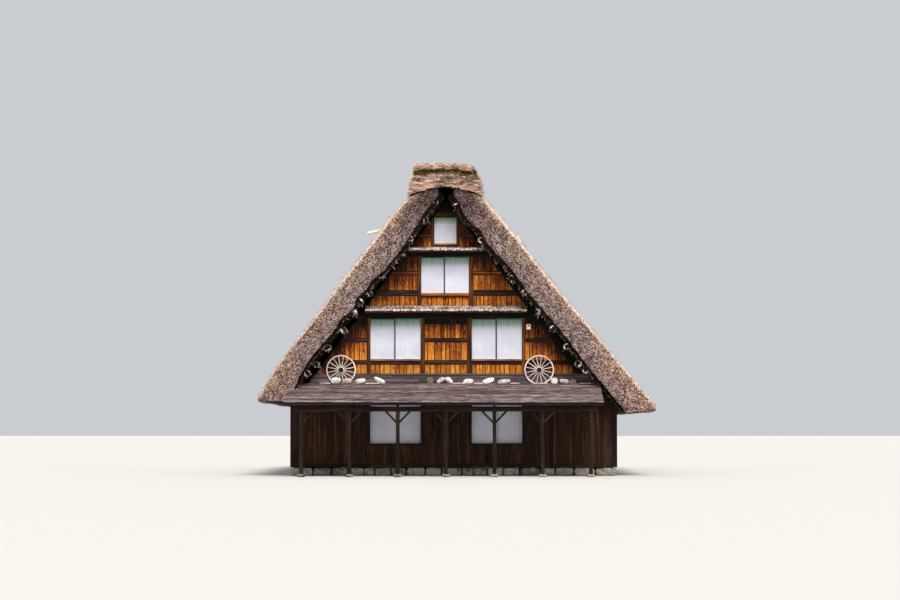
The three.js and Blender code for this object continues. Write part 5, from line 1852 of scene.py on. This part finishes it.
def add_door_leaf(node):
    """A sliding door: a frame with a lattice above and boards below."""
    low, high = corners(node)
    place = on_side(1)
    batch = Batch()
    rng = np.random.default_rng(240)
    back, face = low[0] - RIDGE_X, high[0] - RIDGE_X
    y0, y1, z0, z1 = low[1], high[1], low[2], high[2]
    for y in (y0 + 0.04, y1 - 0.04):
        stick(batch, place, (y, z0), (y, z1), 0.08, back, face, tone=rng.uniform())
    for z in (z0 + 0.06, z0 + 0.75, z1 - 0.05):
        stick(batch, place, (y0 + 0.08, z), (y1 - 0.08, z), 0.10, back + 0.002, face - 0.002,
              tone=rng.uniform())
    lower = rectangle(y0 + 0.07, y1 - 0.07, z0 + 0.1, z0 + 0.71)
    fill_with_boards(batch, lower, back + 0.01, face - 0.012, place, rng, widths=(0.10, 0.16))
    upper = rectangle(y0 + 0.07, y1 - 0.07, z0 + 0.79, z1 - 0.09)
    fill_with_boards(batch, upper, back + 0.004, back + 0.012, place, rng, widths=(0.2, 0.3))
    for y in np.arange(y0 + 0.11, y1 - 0.09, 0.055):
        stick(batch, place, (y, z0 + 0.79), (y, z1 - 0.09), 0.020, back + 0.014, face - 0.008, chamfer=0.002,
              tone=rng.uniform())
    piece(f"{node}_wood", batch, [PLAIN_TIMBER], [node])


for node in ("entrance_leaf_outer", "entrance_leaf_inner"):
    add_door_leaf(node)


def add_footing():
    """Field stones laid in a ring under the walls."""
    batch = Batch()
    rng = np.random.default_rng(260)
    low, high = corners("footing")
    x0, x1, y0, y1 = low[0] - RIDGE_X, high[0] - RIDGE_X, low[1], high[1]
    deep, tall = 0.45, high[2]
    seed = 100
    for along_x, start, stop, across in (
        (True, x0, x1, y0 + deep / 2), (True, x0, x1, y1 - deep / 2),
        (False, y0 + deep, y1 - deep, x0 + deep / 2), (False, y0 + deep, y1 - deep, x1 - deep / 2),
    ):
        at = start
        while at < stop - 0.05:
            long = rng.uniform(0.35, 0.8)
            if stop - at - long < 0.3:
                long = stop - at
            size, centre = (long * 1.16, deep * 1.15, tall * 1.12), (at + long / 2, across, 0)
            if not along_x:
                size, centre = (size[1], size[0], size[2]), (centre[1], centre[0], 0)
            seed += 1
            first = len(batch.points)
            blob(batch, centre, size, seed, square=0.75, rough=0.05, cells=(7, 6, 5), tone=rng.uniform())
            batch.points[first][:, 2] = np.clip(batch.points[first][:, 2], 0, tall)
            at += long
    piece("footing_stones", batch, [FOOTING_STONE], ["footing"], smooth=True)


add_footing()


# The lean-to's posts, beam and base stones
LEANTO_POSTS = np.linspace(-5.02, 5.02, 7)


def add_leanto_frame(name, end):
    """Posts on base stones under a beam, with a brace at both sides of each post's head."""
    low, high = corners(f"{name}_leanto_frame")
    out0, out1 = sorted((abs(low[1]), abs(high[1])))
    place = on_gable(end)
    rng = np.random.default_rng(280 + end)
    batch, bases = Batch(), Batch()
    top = high[2]
    stick(batch, place, (-5.27, top - 0.09), (5.27, top - 0.09), 0.18, out0 + 0.01, out1, chamfer=0.012,
          steps=8, tone=0.4)
    for x in LEANTO_POSTS:
        stick(batch, place, (x, 0.10), (x, top - 0.17), 0.13, out0, out1, chamfer=0.012,
              bow=rng.uniform(-0.012, 0.012), steps=5, tone=rng.uniform())
        blob(bases, place(x, (out0 + out1) / 2, 0), (0.32, 0.32, 0.12), int(30 + 3 * x), square=0.5,
             rough=0.06, tone=rng.uniform())
    middle_out = (out0 + out1) / 2
    for a, b in zip(LEANTO_POSTS, LEANTO_POSTS[1:]):
        for foot, way in ((a, 1), (b, -1)):
            start = place(foot + way * 0.05, middle_out, top - 0.55)
            stop = place(foot + way * 0.42, middle_out, top - 0.17)
            bar(batch, start, stop, 0.07, 0.06, np.cross(stop - start, (0, 1, 0)), tone=rng.uniform())
    piece(f"{name}_leanto_posts", batch, [PLAIN_TIMBER], [f"{name}_leanto_frame"])
    piece(f"{name}_leanto_base_stones", bases, [FOOTING_STONE], smooth=True)


for name, end in ENDS.items():
    add_leanto_frame(name, end)


def add_meter_box():
    """A small moulded box with a lid and a plain window."""
    low, high = corners("meter_box")
    batch = Batch()
    place = on_gable(-1)
    x, z = (low[0] + high[0]) / 2 - RIDGE_X, (low[2] + high[2]) / 2
    back, face = -high[1], -low[1]
    wide, tall = high[0] - low[0], high[2] - low[2]
    stick(batch, place, (x, z - tall / 2), (x, z + tall / 2), wide, back, face - 0.03, chamfer=0.012,
          tone=0.5)
    stick(batch, place, (x, z - tall * 0.46), (x, z + tall * 0.46), wide * 0.9, face - 0.032, face,
          chamfer=0.012, tone=0.7)
    stick(batch, place, (x, z + tall * 0.10), (x, z + tall * 0.32), wide * 0.5, face - 0.004, face + 0.003,
          chamfer=0.001, kind=BOX_WINDOW, tone=0.0)
    piece("meter_box_case", batch, BOX_FINISHES, ["meter_box"])


add_meter_box()


# Straw tufts: short tapering stalks that stand out of the thatch, made by Geometry Nodes

def straw_tree():
    """Cones on the faces of one material, tilted down the slope and apart, as plain geometry."""
    tree = bpy.data.node_groups.new("straw_tufts", "GeometryNodeTree")
    sockets = [("Thatch", "NodeSocketGeometry"), ("On", "NodeSocketMaterial"), ("Density", "NodeSocketFloat"),
               ("Length", "NodeSocketFloat"), ("Thickness", "NodeSocketFloat"), ("Way", "NodeSocketVector"),
               ("Parting", "NodeSocketVector"), ("Middle", "NodeSocketVector"),
               ("Rise", "NodeSocketFloat"), ("Spread", "NodeSocketVector"), ("Clump", "NodeSocketVector"),
               ("Fade", "NodeSocketVector"), ("Finish", "NodeSocketMaterial")]
    for name, kind in sockets:
        tree.interface.new_socket(name, in_out="INPUT", socket_type=kind)
    tree.interface.new_socket("Straw", in_out="OUTPUT", socket_type="NodeSocketGeometry")
    given = add(tree, "NodeGroupInput").outputs
    chosen = add(tree, "GeometryNodeMaterialSelection", {"Material": given["On"]})
    spots = add(tree, "GeometryNodeDistributePointsOnFaces", {
        "Mesh": given["Thatch"], "Selection": chosen, "Density": given["Density"], "Seed": 7,
    })
    place = add(tree, "GeometryNodeInputPosition")
    away = add(tree, "ShaderNodeVectorMath", {0: place, 1: given["Middle"]}, operation="SUBTRACT")
    # Stalks of a clump are alike in tone. Clump says how many there are to a metre, and Fade how the tone
    # changes.
    where = add(tree, "ShaderNodeVectorMath", {0: place, 1: given["Clump"]}, operation="MULTIPLY")
    clumps = add(tree, "ShaderNodeTexNoise", {"Vector": where, "Scale": 1.0, "Detail": 2.0})
    own = add(tree, "FunctionNodeRandomValue", {2: -1.35, 3: -0.85, "Seed": 3}, data_type="FLOAT")
    shared = add(tree, "ShaderNodeMath", {0: clumps, 1: 3.2, 2: own}, operation="MULTIPLY_ADD")
    faded = add(tree, "ShaderNodeVectorMath", {0: away, 1: given["Fade"]}, operation="DOT_PRODUCT")
    tone = add(tree, "ShaderNodeMath", {0: shared, 1: faded}, operation="ADD", use_clamp=True)
    toned = add(tree, "GeometryNodeStoreNamedAttribute", {
        "Geometry": spots, "Name": "tone", "Value": tone,
    }, data_type="FLOAT", domain="POINT")
    stray = add(tree, "FunctionNodeRandomValue", {0: (-1, -1, -1), 1: (1, 1, 1), "Seed": 5},
                data_type="FLOAT_VECTOR")
    wide = add(tree, "ShaderNodeVectorMath", {0: stray, 1: given["Spread"]}, operation="MULTIPLY")
    # Stalks part to both sides of the middle, as far as Parting says along each axis.
    parted = add(tree, "ShaderNodeVectorMath", {0: away, 1: given["Parting"], 2: given["Way"]},
                 operation="MULTIPLY_ADD")
    risen = add(tree, "ShaderNodeVectorMath", {0: spots.outputs["Normal"], "Scale": given["Rise"]},
                operation="SCALE")
    out = add(tree, "ShaderNodeVectorMath", {0: parted, 1: risen}, operation="ADD")
    way = add(tree, "ShaderNodeVectorMath", {0: out, 1: wide}, operation="ADD")
    turn = add(tree, "FunctionNodeAlignRotationToVector", {"Vector": way}, axis="Z")
    stalk = add(tree, "GeometryNodeMeshCone", {
        "Vertices": 3, "Radius Top": 0.0, "Radius Bottom": 1.0, "Depth": 1.0,
    }, fill_type="NGON")
    shifted = add(tree, "GeometryNodeTransform", {"Geometry": stalk, "Translation": (0, 0, -0.35)})
    long = add(tree, "FunctionNodeRandomValue", {2: 0.5, 3: 1.3, "Seed": 9}, data_type="FLOAT")
    scale = add(tree, "ShaderNodeMath", {0: long, 1: given["Length"]}, operation="MULTIPLY")
    size = add(tree, "ShaderNodeCombineXYZ", {"X": given["Thickness"], "Y": given["Thickness"], "Z": scale})
    placed = add(tree, "GeometryNodeInstanceOnPoints", {
        "Points": toned, "Instance": shifted, "Rotation": turn, "Scale": size,
    })
    real = add(tree, "GeometryNodeRealizeInstances", {"Geometry": placed})
    painted = add(tree, "GeometryNodeSetMaterial", {"Geometry": real, "Material": given["Finish"]})
    add(tree, "NodeGroupOutput", {"Straw": painted})
    return tree


STRAW_TREE = straw_tree()


def add_tufts(name, source, slot, **inputs):
    """Grows tufts on the faces of one material of a piece, as a plain mesh of their own."""
    grown = bpy.data.objects.new(name, source.data)
    bpy.context.scene.collection.objects.link(grown)
    modifier = grown.modifiers.new("straw", "NODES")
    modifier.node_group = STRAW_TREE
    for item in STRAW_TREE.interface.items_tree:
        if item.in_out == "INPUT" and item.name in inputs:
            modifier[item.identifier] = inputs[item.name]
    bpy.context.view_layer.update()
    evaluated = grown.evaluated_get(bpy.context.evaluated_depsgraph_get())
    mesh = bpy.data.meshes.new_from_object(evaluated)
    grown.modifiers.clear()
    grown.data = mesh
    places = np.empty(3 * len(mesh.vertices))
    mesh.vertices.foreach_get("co", places)
    mesh.vertices.foreach_set("co", np.clip(places.reshape(-1, 3), *np.array(cad_box)).ravel())
    return settle(grown)


for side, slope in slopes.items():
    down = SLOPES[side]["outer"].down()
    way = np.array((down[0], 0.0, down[1]))
    add_tufts(f"{slope.name}_verge_stalks", slope, "thatch", On=CUT_STRAW, Density=300.0, Length=0.08,
              Thickness=0.012, Way=0.25 * way, Rise=1.0, Spread=(0.4, 0.4, 0.4), Clump=(9, 9, 9),
              Finish=TUFT_STRAW)
    add_tufts(f"{slope.name}_slope_stalks", slope, "thatch", On=LONG_STRAW, Density=36.0, Length=0.16,
              Thickness=0.009, Way=2.3 * way, Rise=1.0, Spread=(0.4, 0.4, 0.4), Clump=(3, 3, 3),
              Finish=TUFT_STRAW)
# Of each piece: the middle that its end stalks fade from, how they fade, and how much they stray
# The mat's end stalks are painted lighter towards its top, where the light falls.
RIDGE_ENDS = {"ridge_cap_straw": (10.25, -0.9, 0.12, 0.30), "ridge_mat_straw": (10.97, 5.0, 0.5, 0.16)}
for name, (middle_z, fade, stray, long) in RIDGE_ENDS.items():
    straw = bpy.data.objects[name]
    add_tufts(f"{name}_stalks", straw, "ridge_straw", On=RIDGE_STRAW, Density=330.0, Length=0.20,
              Thickness=0.010, Parting=(3.0, 0.0, 1.5), Middle=(RIDGE_X, 0.0, 10.9), Rise=1.0,
              Spread=(0.7, 0.7, 0.7), Clump=(6, 6, 6), Finish=TUFT_RIDGE)
    # The strands at the ends of the bale lie flat, drawn over the ridge.
    add_tufts(f"{name}_end_stalks", straw, "ridge_straw", On=BALE_END, Density=1100.0, Length=long,
              Thickness=0.009, Parting=(1.5, 0.0, 0.4), Middle=(RIDGE_X, 0.0, middle_z), Rise=0.10,
              Spread=(1.0, 0.1, stray), Clump=(3, 8, 16), Fade=(0, 0, fade), Finish=TUFT_RIDGE)
add_tufts("ridge_neck_stalks", bpy.data.objects["ridge_neck_straw"], "ridge_straw", On=GAP_STRAW,
          Density=500.0, Length=0.15, Thickness=0.011, Way=(0, 0, -0.7), Middle=(RIDGE_X, 0.0, 10.70),
          Rise=1.0, Spread=(0.8, 0.8, 0.8), Clump=(11, 11, 22), Fade=(0, 0, -3.0), Finish=TUFT_MOSS)


# Finish of the CAD nodes that stay

KEPT = {
    BACKING: [f"{name}_wall_storey_{n}" for name in ENDS for n in (2, 3, 4)],
    FLOOR_BOARDS: ["ground_floor", "second_floor", "third_floor", "attic_floor"],
    FRAME_TIMBER: [
        "left_post_row", "right_post_row", "left_ground_wall", "right_ground_wall", "front_ground_wall",
        "rear_ground_wall",
    ],
}
for material, nodes in KEPT.items():
    for node in nodes:
        repaint(node, material)


# Stage: a pale floor, soft sky light and one wide high lamp

def add_stage():
    material = bpy.data.materials.new("studio_floor")
    material.use_nodes = True
    shader = material.node_tree.nodes["Principled BSDF"].inputs
    shader["Base Color"].default_value = linear("#D9D6D0")
    shader["Roughness"].default_value = 0.9
    mesh = bpy.data.meshes.new("floor")
    half = 400.0
    mesh.from_pydata([(-half, -half, 0), (half, -half, 0), (half, half, 0), (-half, half, 0)], [],
                     [(0, 1, 2, 3)])
    mesh.materials.append(material)
    floor = bpy.data.objects.new("floor", mesh)
    bpy.context.scene.collection.objects.link(floor)


def add_light():
    world = bpy.data.worlds.new("studio")
    bpy.context.scene.world = world
    world.use_nodes = True
    background = world.node_tree.nodes["Background"]
    background.inputs["Color"].default_value = linear("#E9EDF2")
    background.inputs["Strength"].default_value = 0.72
    data = bpy.data.lights.new("key", "SUN")
    data.energy = 3.2
    data.angle = math.radians(28)
    data.color = (1.0, 0.965, 0.91)
    key = bpy.data.objects.new("key", data)
    key.rotation_euler = (math.radians(38), 0, math.radians(14))
    bpy.context.scene.collection.objects.link(key)


add_stage()
add_light()
bpy.context.scene.view_settings.view_transform = "Standard"
